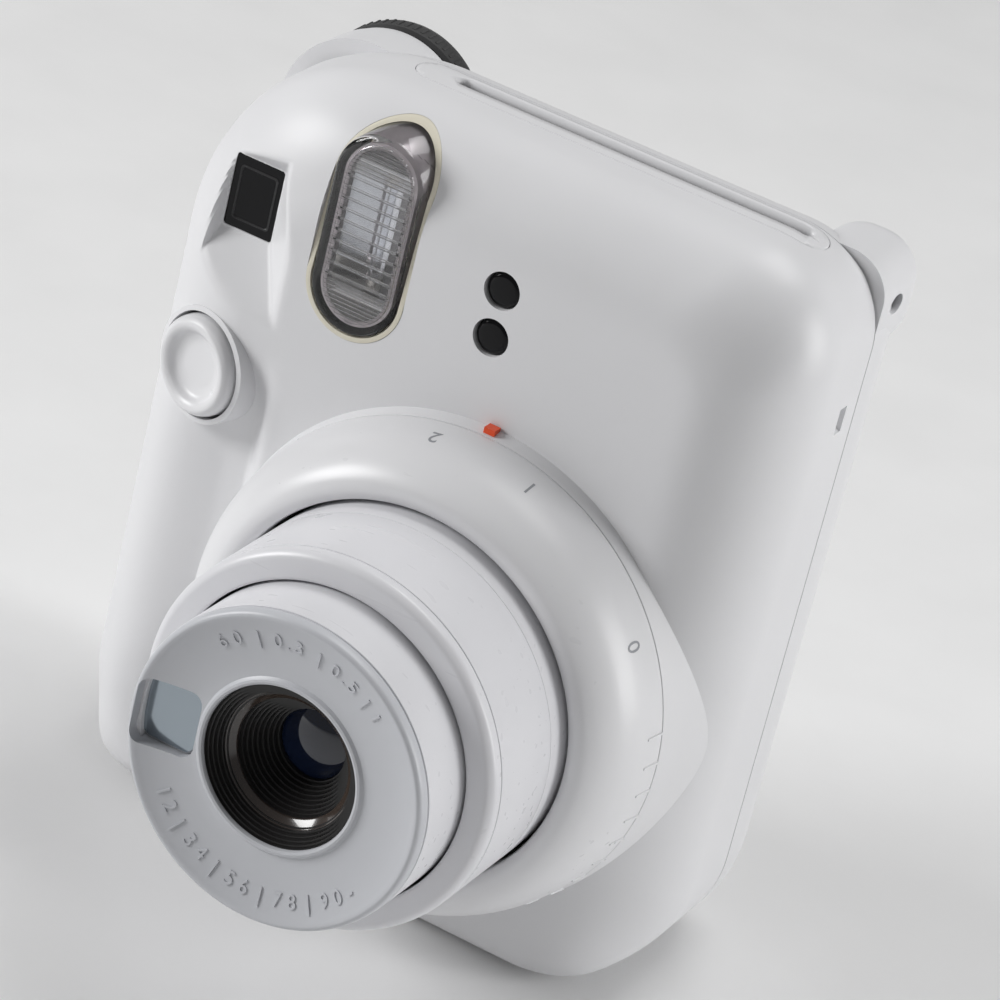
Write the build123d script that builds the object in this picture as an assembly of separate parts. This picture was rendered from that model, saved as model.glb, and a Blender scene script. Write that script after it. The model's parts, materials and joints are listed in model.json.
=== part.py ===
from build123d import *
from math import atan2, cos, degrees, pi, sin, sqrt
import os

# Driving dimensions, in millimetres. +X is the right-hand side seen from the front,
# +Y points to the back, +Z is up. The origin is under the middle of the camera,
# on the plane that its feet stand on.
WIDTH = 104.0
HEIGHT = 122.0
FOOT_H = 0.8
BODY_FRONT = -1.5
BODY_BACK = 44.5
SEAM_Y = 25.5
WALL = 2.0
GAP = 0.35
SCREW_XS = (-24.0, 30.0)
SCREW_Y = 17.0
REAR_FACE = 48.5
FRONT_FACE = -48.5

# Outline corner radii seen from the front, then the edge roundings in depth.
CORNER = {"tl": 30.0, "tr": 15.0, "br": 20.0, "bl": 16.0}
CORNER_SHRINK = 0.45
ROUND_FRONT = {"left": 20.0, "right": 15.5, "top": 16.0, "bottom": 8.0}
ROUND_BACK = {"left": 16.0, "right": 16.0, "top": 24.0, "bottom": 8.0}

# Lens group, on one axis along Y.
LENS_X = 10.3
LENS_Z = 46.5
DIAL_SEAM = -3.8
DIAL_R = 37.7
OUTER_R = 28.5
OUTER_FACE = -37.0
OUTER_HOLE_R = 24.3
INNER_R = 23.8
PLATE_HOLE_R = 12.2

# Film path.
FILM_Y = 21.5
PACK_W = 62.0
PACK_H = 91.0
PACK_Z = 9.0
PACK_FRONT = 22.6
PACK_BACK = 38.0
ROLLER_R = 3.2
ROLLER_Z = 104.5

# Finder, flash, release and door.
FINDER_X = -37.6
FINDER_Z = 100.2
EYE_X = -38.0
EYE_Z = 102.6
FLASH_X = -16.1
FLASH_Z = 104.2
FLASH_W = 14.6
FLASH_H = 31.2
FLASH_FACE = -2.0
BUTTON_X = -38.0
BUTTON_Y = -0.6
BUTTON_Z = 73.6
BUTTON_R = 7.7
BUTTON_TILT = 17.5
SENSOR_X = 6.2
SENSOR_ZS = (105.1, 97.7)
SENSOR_R = 2.75
DOOR_X0 = -23.2
DOOR_X1 = 44.3
DOOR_Z0 = 5.6
DOOR_Z1 = 101.5
DOOR_CORNER = 7.0
HINGE_X = 46.3
HINGE_Y = 41.4
PIN_R = 0.9
HINGE_SPANS = ((18.0, 28.0), (79.0, 89.0))
LATCH_X = -17.8
CELL_R = 7.1
CELL_H = 49.2
CELL_X = -40.2
CELL_Z = 12.6
CELL_YS = (14.4, 29.2)
COUNTER_X = -33.5
COUNTER_Z = 74.0

# Eject gears: module, tooth counts and the plane that they turn in.
MODULE = 0.8
TEETH = {"roller": 14, "idler": 24, "pinion": 10}
GEAR_X0 = 44.0
GEAR_W = 2.6
MESH_SLACK = 0.12
MOTOR_Y = 10.6
MOTOR_Z = 93.2
MOTOR_R = 6.8


def box(x0, x1, y0, y1, z0, z1):
    """A block between two opposite corners."""
    mid = ((x0 + x1) / 2, (y0 + y1) / 2, (z0 + z1) / 2)
    return Pos(*mid) * Box(x1 - x0, y1 - y0, z1 - z0)


def cyl_y(x, z, y0, y1, r):
    """A round bar along Y."""
    return Pos(x, (y0 + y1) / 2, z) * Rot(90, 0, 0) * Cylinder(r, y1 - y0)


def cyl_x(y, z, x0, x1, r):
    """A round bar along X."""
    return Pos((x0 + x1) / 2, y, z) * Rot(0, 90, 0) * Cylinder(r, x1 - x0)


def cyl_z(x, y, z0, z1, r):
    """A round bar along Z."""
    return Pos(x, y, (z0 + z1) / 2) * Cylinder(r, z1 - z0)


def tube_y(x, z, y0, y1, r_out, r_in):
    """A plain tube along Y."""
    return cyl_y(x, z, y0, y1, r_out) - cyl_y(x, z, y0 - 1, y1 + 1, r_in)


def turned(points, x=LENS_X, z=LENS_Z):
    """A solid turned about an axis along Y, from a closed list of (radius, y) points."""
    profile = make_face(Polyline(*points, close=True))
    return Pos(x, 0, z) * revolve(profile, Axis.Y)


def on_xz(face, y):
    """Put a flat sketch, drawn in x and z, on the plane at depth y."""
    return Plane.XZ.offset(-y) * face


def prism_y(face, y0, y1):
    """A sketch drawn in x and z, given thickness from y0 back to y1."""
    return extrude(on_xz(face, y1), amount=y1 - y0)


def stadium(width, height, grow=0.0):
    """An upright slot shape with round ends, or a lying one when it is wider than high."""
    w, h = width + 2 * grow, height + 2 * grow
    if h > w:
        return SlotOverall(h, w, rotation=90)
    return SlotOverall(w, h)


def stadium_y(x, z, width, height, y0, y1, grow=0.0):
    return prism_y(Pos(x, z) * stadium(width, height, grow), y0, y1)


def rounded_y(x, z, width, height, radius, y0, y1):
    return prism_y(Pos(x, z) * RectangleRounded(width, height, radius), y0, y1)


def edge_inset(y, side, inset):
    """How far one side of the casing is drawn in at depth y by its front or back rounding."""
    r_front = ROUND_FRONT[side] - inset
    r_back = ROUND_BACK[side] - inset
    into_front = BODY_FRONT + inset + r_front - y
    into_back = y - (BODY_BACK - inset - r_back)
    drawn = 0.0
    if into_front > 0:
        drawn = r_front - sqrt(max(r_front ** 2 - into_front ** 2, 0.0))
    if into_back > 0:
        drawn = r_back - sqrt(max(r_back ** 2 - into_back ** 2, 0.0))
    return inset + drawn


def casing_section(y, inset):
    """The casing's outline at depth y, as a flat face."""
    draw = {side: edge_inset(y, side, inset) for side in ROUND_FRONT}
    x0 = -WIDTH / 2 + draw["left"]
    x1 = WIDTH / 2 - draw["right"]
    z0 = FOOT_H + draw["bottom"]
    z1 = HEIGHT - draw["top"]
    radii = [
        CORNER["bl"] - CORNER_SHRINK * (draw["left"] + draw["bottom"]) / 2,
        CORNER["br"] - CORNER_SHRINK * (draw["right"] + draw["bottom"]) / 2,
        CORNER["tr"] - CORNER_SHRINK * (draw["right"] + draw["top"]) / 2,
        CORNER["tl"] - CORNER_SHRINK * (draw["left"] + draw["top"]) / 2,
    ]
    corners = [(x0, z0), (x1, z0), (x1, z1), (x0, z1)]
    outline = FilletPolyline(*corners, radius=radii, close=True)
    return on_xz(make_face(outline), y)


def casing_slices(y_start, direction, depth, inset):
    """Section depths that follow a quarter round, close together where it turns fastest."""
    steps = (0.0, 0.015, 0.06, 0.14, 0.25, 0.4, 0.6, 0.8, 1.0)
    return [casing_section(y_start + direction * depth * s, inset) for s in steps]


def casing(inset=0.0):
    """The whole outer form of the camera, or the same form drawn in by a wall's thickness."""
    front_depth = max(ROUND_FRONT.values()) - inset
    back_depth = max(ROUND_BACK.values()) - inset
    y_front = BODY_FRONT + inset
    y_back = BODY_BACK - inset
    front = loft(casing_slices(y_front, 1, front_depth, inset))
    back = loft(casing_slices(y_back, -1, back_depth, inset))
    y0 = y_front + front_depth
    y1 = y_back - back_depth
    middle = extrude(casing_section(y1, inset), amount=y1 - y0)
    return front + middle + back


def front_half(solid):
    return solid & box(-80, 80, -80, SEAM_Y, -10, 140)


def rear_half(solid):
    return solid & box(-80, 80, SEAM_Y, 80, -10, 140)


OUTER_FORM = casing()
INNER_FORM = casing(WALL)
INSIDE_FORM = casing(WALL + GAP)


def button_place():
    """The release button's own frame: its Z runs out of the casing along the press."""
    return Pos(BUTTON_X, BUTTON_Y, BUTTON_Z) * Rot(0, 0, -BUTTON_TILT) * Rot(90, 0, 0)


def finder_funnel():
    """The tapered well in front of the finder window."""
    mouth = on_xz(Pos(-35.8, 99.3) * RectangleRounded(15.6, 21.0, 2.5), BODY_FRONT - 3)
    floor = on_xz(Pos(FINDER_X, FINDER_Z) * RectangleRounded(8.6, 11.8, 0.4), 4.0)
    return loft([mouth, floor])


def finder_well():
    """Walls around the finder's funnel, inside the casing."""
    block = box(-46.5, -27.5, BODY_FRONT, 5.6, 86.5, 112.5)
    return block & OUTER_FORM


def grip_groove():
    """A finger groove between the grip and the lens boss, run out at its top."""
    barrel = cyl_z(-33.6, BODY_FRONT - 8.4, 2.0, 70.0, 11.4)
    nose = Pos(-33.6, BODY_FRONT - 8.4, 70.0) * Sphere(11.4)
    return barrel + nose


def boss():
    """The round boss that carries the dial, slightly wider where it meets the casing."""
    wall = turned([(35.9, DIAL_SEAM), (37.9, DIAL_SEAM), (40.4, 8.5), (37.4, 8.5), (35.9, -1.8)])
    bearing = turned([(31.7, DIAL_SEAM), (37.0, DIAL_SEAM), (37.0, -1.8), (33.6, -1.8),
                      (33.6, 11.0), (31.7, 11.0)])
    wall &= box(-80, 28, -20, 0.1, 0, 140) + box(27.9, 60, -20, 8.5, 0, 140)
    return wall + bearing


def slot_insert_column(grow=0.0):
    """The stadium shape of the film slot's insert, standing up through the top."""
    face = Pos(9.1, FILM_Y - 0.4) * stadium(67.8, 7.4, grow)
    return extrude(Pos(0, 0, 112) * face, amount=14)


def front_cover():
    shell = front_half(OUTER_FORM) - front_half(INNER_FORM)
    thick = box(-47, -22.5, BODY_FRONT, 5.2, 3, 84) & OUTER_FORM
    cover = shell + (boss() & box(-60, 50.9, -30, 30, 2, 140)) + finder_well() + thick
    cover -= grip_groove()
    cover -= cyl_y(LENS_X, LENS_Z, -30, 14, 31.7)
    cover -= stadium_y(FLASH_X, FLASH_Z, FLASH_W, FLASH_H, -10, 12, 0.9)
    cover -= finder_funnel()
    cover -= rounded_y(FINDER_X, FINDER_Z, 8.8, 12.0, 0.5, 3.0, 7.0)
    for z in SENSOR_ZS:
        cover -= cyl_y(SENSOR_X, z, -4, 2, SENSOR_R + 0.1)
    cover -= button_place() * Cylinder(BUTTON_R + GAP, 16)
    cover -= slot_insert_column(0.12)
    cover -= battery_opening(GAP)
    cover -= box(51.3, 60, SEAM_Y - 5.4, SEAM_Y - 3.4, 95.2, 99.0)
    for x in SCREW_XS:
        cover -= cyl_z(x, SCREW_Y, 0, 2.2, 1.7)
    return cover


def strap_lug():
    """The bulge at the upper corner that the strap's loop is threaded through."""
    face = Pos(44.4, 111.6) * RectangleRounded(14.8, 17.2, 6.6)
    bulge = prism_y(face, SEAM_Y + 0.2, 40.5)
    return fillet(bulge.faces().sort_by(Axis.Y)[-1].edges(), 5.0)


def strap_hole():
    """A hole from the lug's outer side through to its back."""
    return Pos(47.6, 34.6, 112.6) * Rot(0, 0, 48) * Rot(90, 0, 0) * Cylinder(1.5, 40)


def door_region(gap):
    """The part of the casing's back that swings open, round at its corners."""
    x, z = (DOOR_X0 + DOOR_X1) / 2, (DOOR_Z0 + DOOR_Z1) / 2
    width, height = DOOR_X1 - DOOR_X0 + 2 * gap, DOOR_Z1 - DOOR_Z0 + 2 * gap
    return rounded_y(x, z, width, height, DOOR_CORNER + gap, 34.0, 60.0)


def hinge_lugs():
    """Ears of the rear cover at both ends of each door knuckle."""
    ears = []
    for z0, z1 in HINGE_SPANS:
        for a, b in ((z0 - 4.0, z0 - 0.35), (z1 + 0.35, z1 + 4.0)):
            ear = cyl_z(HINGE_X, HINGE_Y, a, b, 1.6)
            web = box(HINGE_X - 0.8, HINGE_X + 1.5, HINGE_Y - 2.4, HINGE_Y, a, b)
            ears.append(ear + web)
    return ears


def eyepiece_hump():
    """The round swelling behind the finder that carries the eyecup."""
    return turned([(10.3, 32.0), (13.7, 32.0), (13.7, 40.0), (13.2, 43.0), (10.3, 43.0)], EYE_X, EYE_Z)


def rear_cover():
    shell = rear_half(OUTER_FORM + strap_lug()) - rear_half(INNER_FORM)
    shell -= door_region(GAP)
    for z0, z1 in HINGE_SPANS:
        shell -= cyl_z(HINGE_X, HINGE_Y, z0 - GAP, z1 + GAP, 2.2)
    shell += hinge_lugs()
    shell += eyepiece_hump() - door_region(GAP)
    shell -= strap_hole()
    shell -= hinge_pins()
    shell -= cyl_y(EYE_X, EYE_Z, 43.0, 60, 13.9)
    shell -= cyl_y(EYE_X, EYE_Z, 26, 60, 10.3)
    shell -= cyl_y(COUNTER_X, COUNTER_Z + 4.6, 40, 50, 2.6)
    shell -= battery_opening(GAP)
    shell -= cyl_x(29.0, 47.3, 50.5, 60, 1.7)
    return shell


def battery_opening(gap):
    """The opening in the grip's outer side that its cover closes."""
    return box(-60, -44.5, 8.0 - gap, 34.5 + gap, 12.0 - gap, 62.0 + gap)


def battery_cover():
    skin = casing_skin() & battery_opening(0.0)
    ribs = [box(-50.2, -48.9, 16.0, 28.0, z, z + 1.2) for z in (20.0, 36.4, 52.8)]
    return skin + ribs


def feet():
    spots = ((30.0, 9.6), (-31.0, 9.6), (30.0, 33.0), (-31.0, 33.0))
    pads = []
    for x, y in spots:
        pads.append(Pos(x, y, 0) * extrude(SlotOverall(7.0, 3.6), amount=FOOT_H + 0.2) - OUTER_FORM)
    return pads


def index_mark():
    """A small raised mark on top of the boss that the dial's settings point to."""
    block = box(LENS_X - 0.9, LENS_X + 0.9, DIAL_SEAM + 0.4, -1.7, LENS_Z + 37.5, LENS_Z + 38.9)
    return block - boss()


def lens_dial():
    """The turning ring: hole, crowned front, shoulder, and a side wall with grip ribs."""
    ring = turned([
        (29.0, -15.9), (29.4, -16.4), (30.6, -16.9), (32.2, -16.6), (34.0, -15.2),
        (35.6, -12.9), (36.7, -10.2), (37.3, -7.6), (DIAL_R, DIAL_SEAM - 0.25),
        (32.4, DIAL_SEAM - 0.25), (32.4, -12.0), (29.0, -12.6),
    ])
    return ring


def dial_sleeve():
    """The cam sleeve behind the dial, with its helical slots shown as straight windows."""
    sleeve = tube_y(LENS_X, LENS_Z, -11.9, 2.5, 31.3, 30.3)
    flange = tube_y(LENS_X, LENS_Z, -11.9, -10.7, 32.3, 30.3)
    body = sleeve + flange
    for angle in (20, 140, 260):
        cutter = Pos(LENS_X, 0, LENS_Z) * Rot(0, angle, 0) * box(28, 33, -8.5, 0.5, -2, 2)
        body -= cutter
    return body


def lens_guide_tube():
    """The fixed tube that the barrels slide in, with its flange on the film chamber."""
    tube = tube_y(LENS_X, LENS_Z, -10.3, 19.4, 29.9, 28.9)
    flange = rounded_y(LENS_X, LENS_Z, 66.0, 66.0, 6.0, 18.2, 19.4)
    flange -= cyl_y(LENS_X, LENS_Z, 10, 22, 28.9)
    return tube + flange


def outer_barrel():
    return turned([
        (27.3, OUTER_FACE + 2.8), (OUTER_R - 0.3, OUTER_FACE + 2.8),
        (OUTER_R, OUTER_FACE + 3.1), (OUTER_R, -8.6), (25.2, -8.6), (25.2, -10.4),
        (27.3, -10.4),
    ])


def outer_barrel_cap():
    """The trim ring that closes the front of the outer barrel."""
    return turned([
        (OUTER_HOLE_R, OUTER_FACE + 0.25), (OUTER_HOLE_R + 0.25, OUTER_FACE),
        (OUTER_R - 0.9, OUTER_FACE), (OUTER_R - 0.3, OUTER_FACE + 0.35),
        (OUTER_R - 0.1, OUTER_FACE + 1.0), (OUTER_R - 0.1, OUTER_FACE + 2.6),
        (OUTER_R - 0.25, OUTER_FACE + 2.75), (OUTER_HOLE_R, OUTER_FACE + 2.75),
    ])


def inner_barrel():
    return turned([
        (22.6, FRONT_FACE + 2.1), (INNER_R - 0.25, FRONT_FACE + 2.1),
        (INNER_R, FRONT_FACE + 2.35), (INNER_R, -20.4), (9.0, -20.4), (9.0, -21.8),
        (22.6, -21.8),
    ])


def mirror_place(width, height, radius, y0, y1):
    """The mirror's rounded square, to the left of the lens hole."""
    return rounded_y(LENS_X - 18.2, LENS_Z - 0.3, width, height, radius, y0, y1)


def front_plate():
    """The dished face of the lens, with a bright edge, a lip and the mirror's recess."""
    plate = turned([
        (PLATE_HOLE_R, -46.4), (PLATE_HOLE_R + 0.35, -46.9), (PLATE_HOLE_R + 0.9, -46.9),
        (PLATE_HOLE_R + 1.3, -46.5), (16.0, -46.75), (19.5, -47.35), (22.0, -48.15),
        (23.0, FRONT_FACE), (23.35, FRONT_FACE + 0.1), (23.7, FRONT_FACE + 0.5),
        (23.7, FRONT_FACE + 1.85), (23.5, FRONT_FACE + 2.05), (22.4, FRONT_FACE + 2.05),
        (22.4, -43.9), (PLATE_HOLE_R, -43.9),
    ])
    return plate - mirror_place(9.4, 10.6, 2.0, -52, -44.6)


def selfie_mirror():
    return mirror_place(9.2, 10.4, 1.9, -45.3, -44.6) & cyl_y(LENS_X, LENS_Z, -50, -40, 22.2)


def lens_hood():
    """The stepped black cone between the plate's hole and the front element."""
    steps = 7
    r_mouth, r_throat = 11.9, 5.0
    y_mouth, y_throat = -46.2, -35.0
    inner = []
    for i in range(steps):
        r = r_mouth + (r_throat - r_mouth) * i / steps
        r_next = r_mouth + (r_throat - r_mouth) * (i + 1) / steps
        y = y_mouth + (y_throat - y_mouth) * i / steps
        y_next = y_mouth + (y_throat - y_mouth) * (i + 1) / steps
        inner += [(r, y), (r - 0.25, y_next - 0.5), (r_next, y_next - 0.2)]
    back = [(r_throat, y_throat), (r_throat + 2.4, y_throat), (12.1, -43.5), (12.1, y_mouth)]
    return turned(inner + back)


def shutter_housing():
    """The drum behind the hood that holds both elements, the blades and the aperture."""
    drum = turned([
        (6.3, -34.7), (13.0, -34.7), (13.0, -22.0), (8.8, -22.0), (8.8, -25.2),
        (3.4, -25.2), (3.4, -29.4), (11.0, -29.4), (11.0, -31.4), (3.4, -31.4),
        (3.4, -32.1), (6.3, -32.1),
    ])
    drum += box(LENS_X - 22.5, LENS_X - 12.0, -24.4, -22.0, LENS_Z - 2, LENS_Z + 2)
    drum += box(LENS_X + 12.0, LENS_X + 22.5, -24.4, -22.0, LENS_Z - 2, LENS_Z + 2)
    for side in (-1, 1):
        drum += cyl_y(LENS_X + side * 8.6, LENS_Z, -31.4, -29.4, 0.6)
    return drum


def shutter_blade(side):
    """One leaf of the shutter, turning on a post beside the aperture."""
    pivot = cyl_y(LENS_X + side * 8.6, LENS_Z, 0, 0.4, 1.5)
    leaf = box(LENS_X - 3.9, LENS_X + 8.6, 0, 0.4, LENS_Z - 3.9, LENS_Z + 1.0)
    if side < 0:
        leaf = box(LENS_X - 8.6, LENS_X + 3.9, 0, 0.4, LENS_Z - 1.0, LENS_Z + 3.9)
    blade = (pivot + leaf) - cyl_y(LENS_X + side * 8.6, LENS_Z, -1, 2, 0.68)
    y = -31.0 if side > 0 else -30.2
    return Pos(0, y, 0) * blade


def front_lens():
    """The front meniscus element."""
    r = 6.2
    crown = 0.9
    return turned([
        (0, -34.3 - crown + 0.3), (2.2, -34.3 - 0.78 * crown + 0.2), (4.2, -34.2),
        (5.3, -33.9), (r, -33.7), (r, -32.3), (0, -32.3),
    ])


def rear_lens():
    return turned([(0, -24.9), (8.6, -24.9), (8.6, -23.6), (5.0, -22.8), (2.5, -22.4), (0, -22.3)])


def viewfinder_window():
    return rounded_y(FINDER_X, FINDER_Z, 8.6, 11.8, 0.4, 4.1, 5.5)


def viewfinder_tunnel():
    """The dark rectangular tube from the window to the eyepiece."""
    outer = loft([
        on_xz(Pos(FINDER_X, FINDER_Z) * Rectangle(10.6, 13.6), 5.9),
        on_xz(Pos(EYE_X, EYE_Z) * Rectangle(12.6, 13.4), 42.8),
    ])
    inner = loft([
        on_xz(Pos(FINDER_X, FINDER_Z) * Rectangle(8.8, 11.8), 5.0),
        on_xz(Pos(EYE_X, EYE_Z) * Rectangle(10.4, 11.2), 43.5),
    ])
    room = INSIDE_FORM + cyl_y(EYE_X, EYE_Z, 30, 44, 10.0)
    return (outer - inner) & room


def eyepiece_lens():
    return rounded_y(EYE_X, EYE_Z, 10.6, 11.0, 2.0, 43.4, 45.2)


def eyecup():
    """A soft ring around the eyepiece, standing proud of the back."""
    ring = turned([
        (7.7, 43.2), (13.0, 43.2), (13.5, 43.8), (13.5, 46.6), (12.9, 48.1),
        (11.6, REAR_FACE), (10.2, REAR_FACE - 0.5), (8.6, 46.2), (7.7, 45.4),
    ], EYE_X, EYE_Z)
    return ring


def flash_window():
    """The clear cover of the flash: a shallow box with round ends and a ribbed face."""
    outer = stadium_y(FLASH_X, FLASH_Z, FLASH_W, FLASH_H, FLASH_FACE, 9.0)
    outer = fillet(outer.faces().sort_by(Axis.Y)[0].edges(), 1.2)
    inner = stadium_y(FLASH_X, FLASH_Z, FLASH_W, FLASH_H, FLASH_FACE + 1.4, 10.0, -1.3)
    return outer - inner


def flash_gasket():
    """The pale seal between the flash window and the cover."""
    ring = stadium_y(FLASH_X, FLASH_Z, FLASH_W, FLASH_H, -1.6, 8.6, 0.8)
    ring -= stadium_y(FLASH_X, FLASH_Z, FLASH_W, FLASH_H, -3, 10, 0.06)
    return ring & casing_skin()


def casing_skin():
    return OUTER_FORM - INNER_FORM


def flash_reflector():
    """The bright trough behind the tube."""
    outer = rounded_y(FLASH_X, FLASH_Z, 10.8, 20.6, 1.4, 0.4, 7.6)
    mouth = on_xz(Pos(FLASH_X, FLASH_Z) * Rectangle(9.8, 19.6), 0.2)
    floor = on_xz(Pos(FLASH_X, FLASH_Z) * Rectangle(3.4, 18.4), 6.8)
    return outer - loft([mouth, floor])


def flash_tube():
    """The glass discharge tube, upright in the trough."""
    return cyl_z(FLASH_X, 4.6, FLASH_Z - 8.6, FLASH_Z + 7.8, 1.25)


def sensor_window(z):
    disc = cyl_y(SENSOR_X, z, -1.1, 0.4, SENSOR_R)
    return fillet(disc.faces().sort_by(Axis.Y)[0].edges(), 0.3)


def film_slot_insert():
    """The trim piece in the top with the long slot that the picture comes out of."""
    plate = slot_insert_column() & casing_skin()
    slot = extrude(Pos(11.0, FILM_Y, 100) * SlotOverall(59.2, 3.0), amount=40)
    return plate - slot


def film_chamber():
    """The frame that the film pack seats against, with the picture aperture."""
    x0, x1 = LENS_X - PACK_W / 2 - 2.2, LENS_X + PACK_W / 2 + 1.6
    tray = box(x0, x1, 19.6, 37.8, PACK_Z - 2.0, PACK_Z + PACK_H + 0.6)
    tray -= box(x0 + 1.6, x1 - 1.2, 21.6, 50, PACK_Z - 0.4, PACK_Z + PACK_H + 2)
    tray -= box(LENS_X - 24, LENS_X + 24, 10, 30, 15.5, 79.5)
    # The door's lower corner swings through here as it opens.
    tray -= box(38.6, x1 + 1, 35.4, 40, PACK_Z - 3.0, PACK_Z + 3.5)
    return tray & INSIDE_FORM


def film_pack():
    """The light-tight cassette, with a window in its front for the picture."""
    shell = rounded_y(LENS_X, PACK_Z + PACK_H / 2, PACK_W, PACK_H, 2.0, PACK_FRONT, PACK_BACK)
    shell -= box(LENS_X - 28.5, LENS_X + 28.5, PACK_FRONT + 1.4, PACK_BACK - 1.4,
                 PACK_Z + 1.6, PACK_Z + PACK_H - 1.6)
    shell -= box(LENS_X - 23.5, LENS_X + 23.5, PACK_FRONT - 1, PACK_FRONT + 2, 16.0, 79.0)
    return shell


def film_sheets():
    """The stack of picture sheets held against the cassette's window."""
    return box(LENS_X - 27, LENS_X + 27, PACK_FRONT + 1.5, PACK_FRONT + 6.0,
               PACK_Z + 2.5, PACK_Z + PACK_H - 2.5)


def battery_holder():
    """An open tray for two upright cells."""
    z0, z1 = CELL_Z - 3.2, CELL_Z + CELL_H + 3.4
    y0, y1 = CELL_YS[0] - CELL_R - 1.6, CELL_YS[1] + CELL_R + 1.6
    tray = box(-47.6, CELL_X + CELL_R + 1.6, y0, y1, z0, z1)
    for y in CELL_YS:
        tray -= cyl_z(CELL_X, y, z0 + 1.2, z1 - 1.2, CELL_R + 0.4)
        tray -= box(-60, CELL_X, y - CELL_R - 0.4, y + CELL_R + 0.4, z0 + 1.2, z1 - 1.2)
    return tray & INSIDE_FORM


def batteries():
    cells = []
    for y in CELL_YS:
        cell = cyl_z(CELL_X, y, CELL_Z, CELL_Z + CELL_H, CELL_R)
        cell += cyl_z(CELL_X, y, CELL_Z + CELL_H, CELL_Z + CELL_H + 1.2, 2.6)
        cells.append(cell)
    return cells


def battery_contacts():
    contacts = []
    for y in CELL_YS:
        for z in (CELL_Z - 1.2, CELL_Z + CELL_H + 1.5):
            contacts.append(box(CELL_X - 4, CELL_X + 4, y - 4, y + 4, z, z + 0.4))
    return contacts


def main_board():
    return box(-30.2, -28.6, 6.0, 35.0, 12.0, 84.0) & INSIDE_FORM


def flash_capacitor():
    return cyl_x(14.4, 93.5, -26.0, 4.0, 4.6)


def shutter_switch():
    return button_place() * Pos(0, 0, -9.6) * Box(7.0, 7.0, 3.2)


def shutter_spring():
    """The return spring under the release, as a short sleeve."""
    ring = Cylinder(3.0, 3.5) - Cylinder(2.3, 4)
    return button_place() * Pos(0, 0, -6.2) * ring


def shutter_button():
    """The release: a soft raised rim around a shallow dish, on a short stem."""
    profile = [
        (0, 0.35), (3.2, 0.45), (4.6, 0.85), (5.2, 1.45), (5.9, 2.0), (6.6, 2.1),
        (7.2, 1.75), (7.6, 1.1), (BUTTON_R, 0.3), (BUTTON_R, -2.4), (0, -2.4),
    ]
    face = make_face(Polyline(*profile, close=True))
    cap = Rot(90, 0, 0) * revolve(face, Axis.Y)
    stem = Pos(0, 0, -4.2) * Cylinder(1.9, 3.8)
    return button_place() * (cap + stem)


def back_door():
    skin = casing_skin() & door_region(0.0)
    rim = box(DOOR_X0 + 1.0, DOOR_X1 - 1.6, 41.2, 42.9, DOOR_Z0 + 8, DOOR_Z1 - 4)
    skin += rim & OUTER_FORM
    for z0, z1 in HINGE_SPANS:
        knuckle = cyl_z(HINGE_X, HINGE_Y, z0, z1, 1.7)
        web = box(DOOR_X1 - 1.2, HINGE_X, HINGE_Y - 0.2, HINGE_Y + 1.6, z0, z1)
        skin += knuckle + web
    for z0, z1 in HINGE_SPANS:
        skin -= cyl_z(HINGE_X, HINGE_Y, z0 - 1, z1 + 1, PIN_R + 0.06)
    skin -= rounded_y(31.0, 63.0, 6.4, 22.4, 1.0, 30, 60)
    skin -= latch_slot()
    return skin


def film_window():
    """The small window in the door that shows whether a pack is in."""
    return rounded_y(31.0, 63.0, 6.2, 22.2, 0.9, 42.4, 44.1)


def latch_slot():
    return rounded_y(LATCH_X, 53.0, 6.4, 22.4, 2.0, 30, 60)


def door_latch():
    """The sliding catch in the door, with a finger ridge and a hook."""
    knob = rounded_y(LATCH_X, 54.6, 5.6, 18.0, 1.8, 42.0, 45.6)
    plate = box(LATCH_X - 4.2, LATCH_X + 4.2, 39.7, 40.8, 45.0, 62.0)
    neck = box(LATCH_X - 2.2, LATCH_X + 2.2, 40.7, 42.2, 48.0, 60.0)
    hook = box(LATCH_X - 5.0, LATCH_X - 4.1, 39.7, 40.8, 50.4, 54.6)
    return knob + plate + neck + hook


def pressure_springs():
    leaves = []
    for x in (LENS_X - 14, LENS_X + 14):
        y = PACK_BACK + 0.4
        leaves.append(box(x - 4, x + 4, y, y + 0.4, 20, 84) + box(x - 3, x + 3, y, 41.2, 49, 55))
    return leaves


def hinge_pins():
    return [cyl_z(HINGE_X, HINGE_Y, z0 - 4.0, z1 + 4.0, PIN_R) for z0, z1 in HINGE_SPANS]


def gear(teeth, hole_r):
    """A spur gear about Z with straight-sided teeth that run free of each other."""
    pitch_r = MODULE * teeth / 2
    tip_r = pitch_r + 0.85 * MODULE
    root_r = pitch_r - 1.15 * MODULE
    step = 2 * pi / teeth
    half_root, half_pitch, half_tip = 0.30 * step, 0.215 * step, 0.10 * step
    points = []
    for i in range(teeth):
        a = i * step
        for r, da in ((root_r, -half_root), (pitch_r, -half_pitch), (tip_r, -half_tip),
                      (tip_r, half_tip), (pitch_r, half_pitch), (root_r, half_root)):
            points.append((r * cos(a + da), r * sin(a + da)))
    blank = extrude(make_face(Polyline(*points, close=True)), amount=GEAR_W)
    return blank - Cylinder(hole_r, 20)


def placed_gear(name, turn, hole_r):
    """Stand a gear in the gear plane with its axis along X and one tooth at the given angle."""
    y, z = GEAR_SPOTS[name]
    spin = Rot(0, 0, degrees(turn))
    return Pos(GEAR_X0, y, z) * Rot(0, 90, 0) * Rot(0, 0, 90) * spin * gear(TEETH[name], hole_r)


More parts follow.
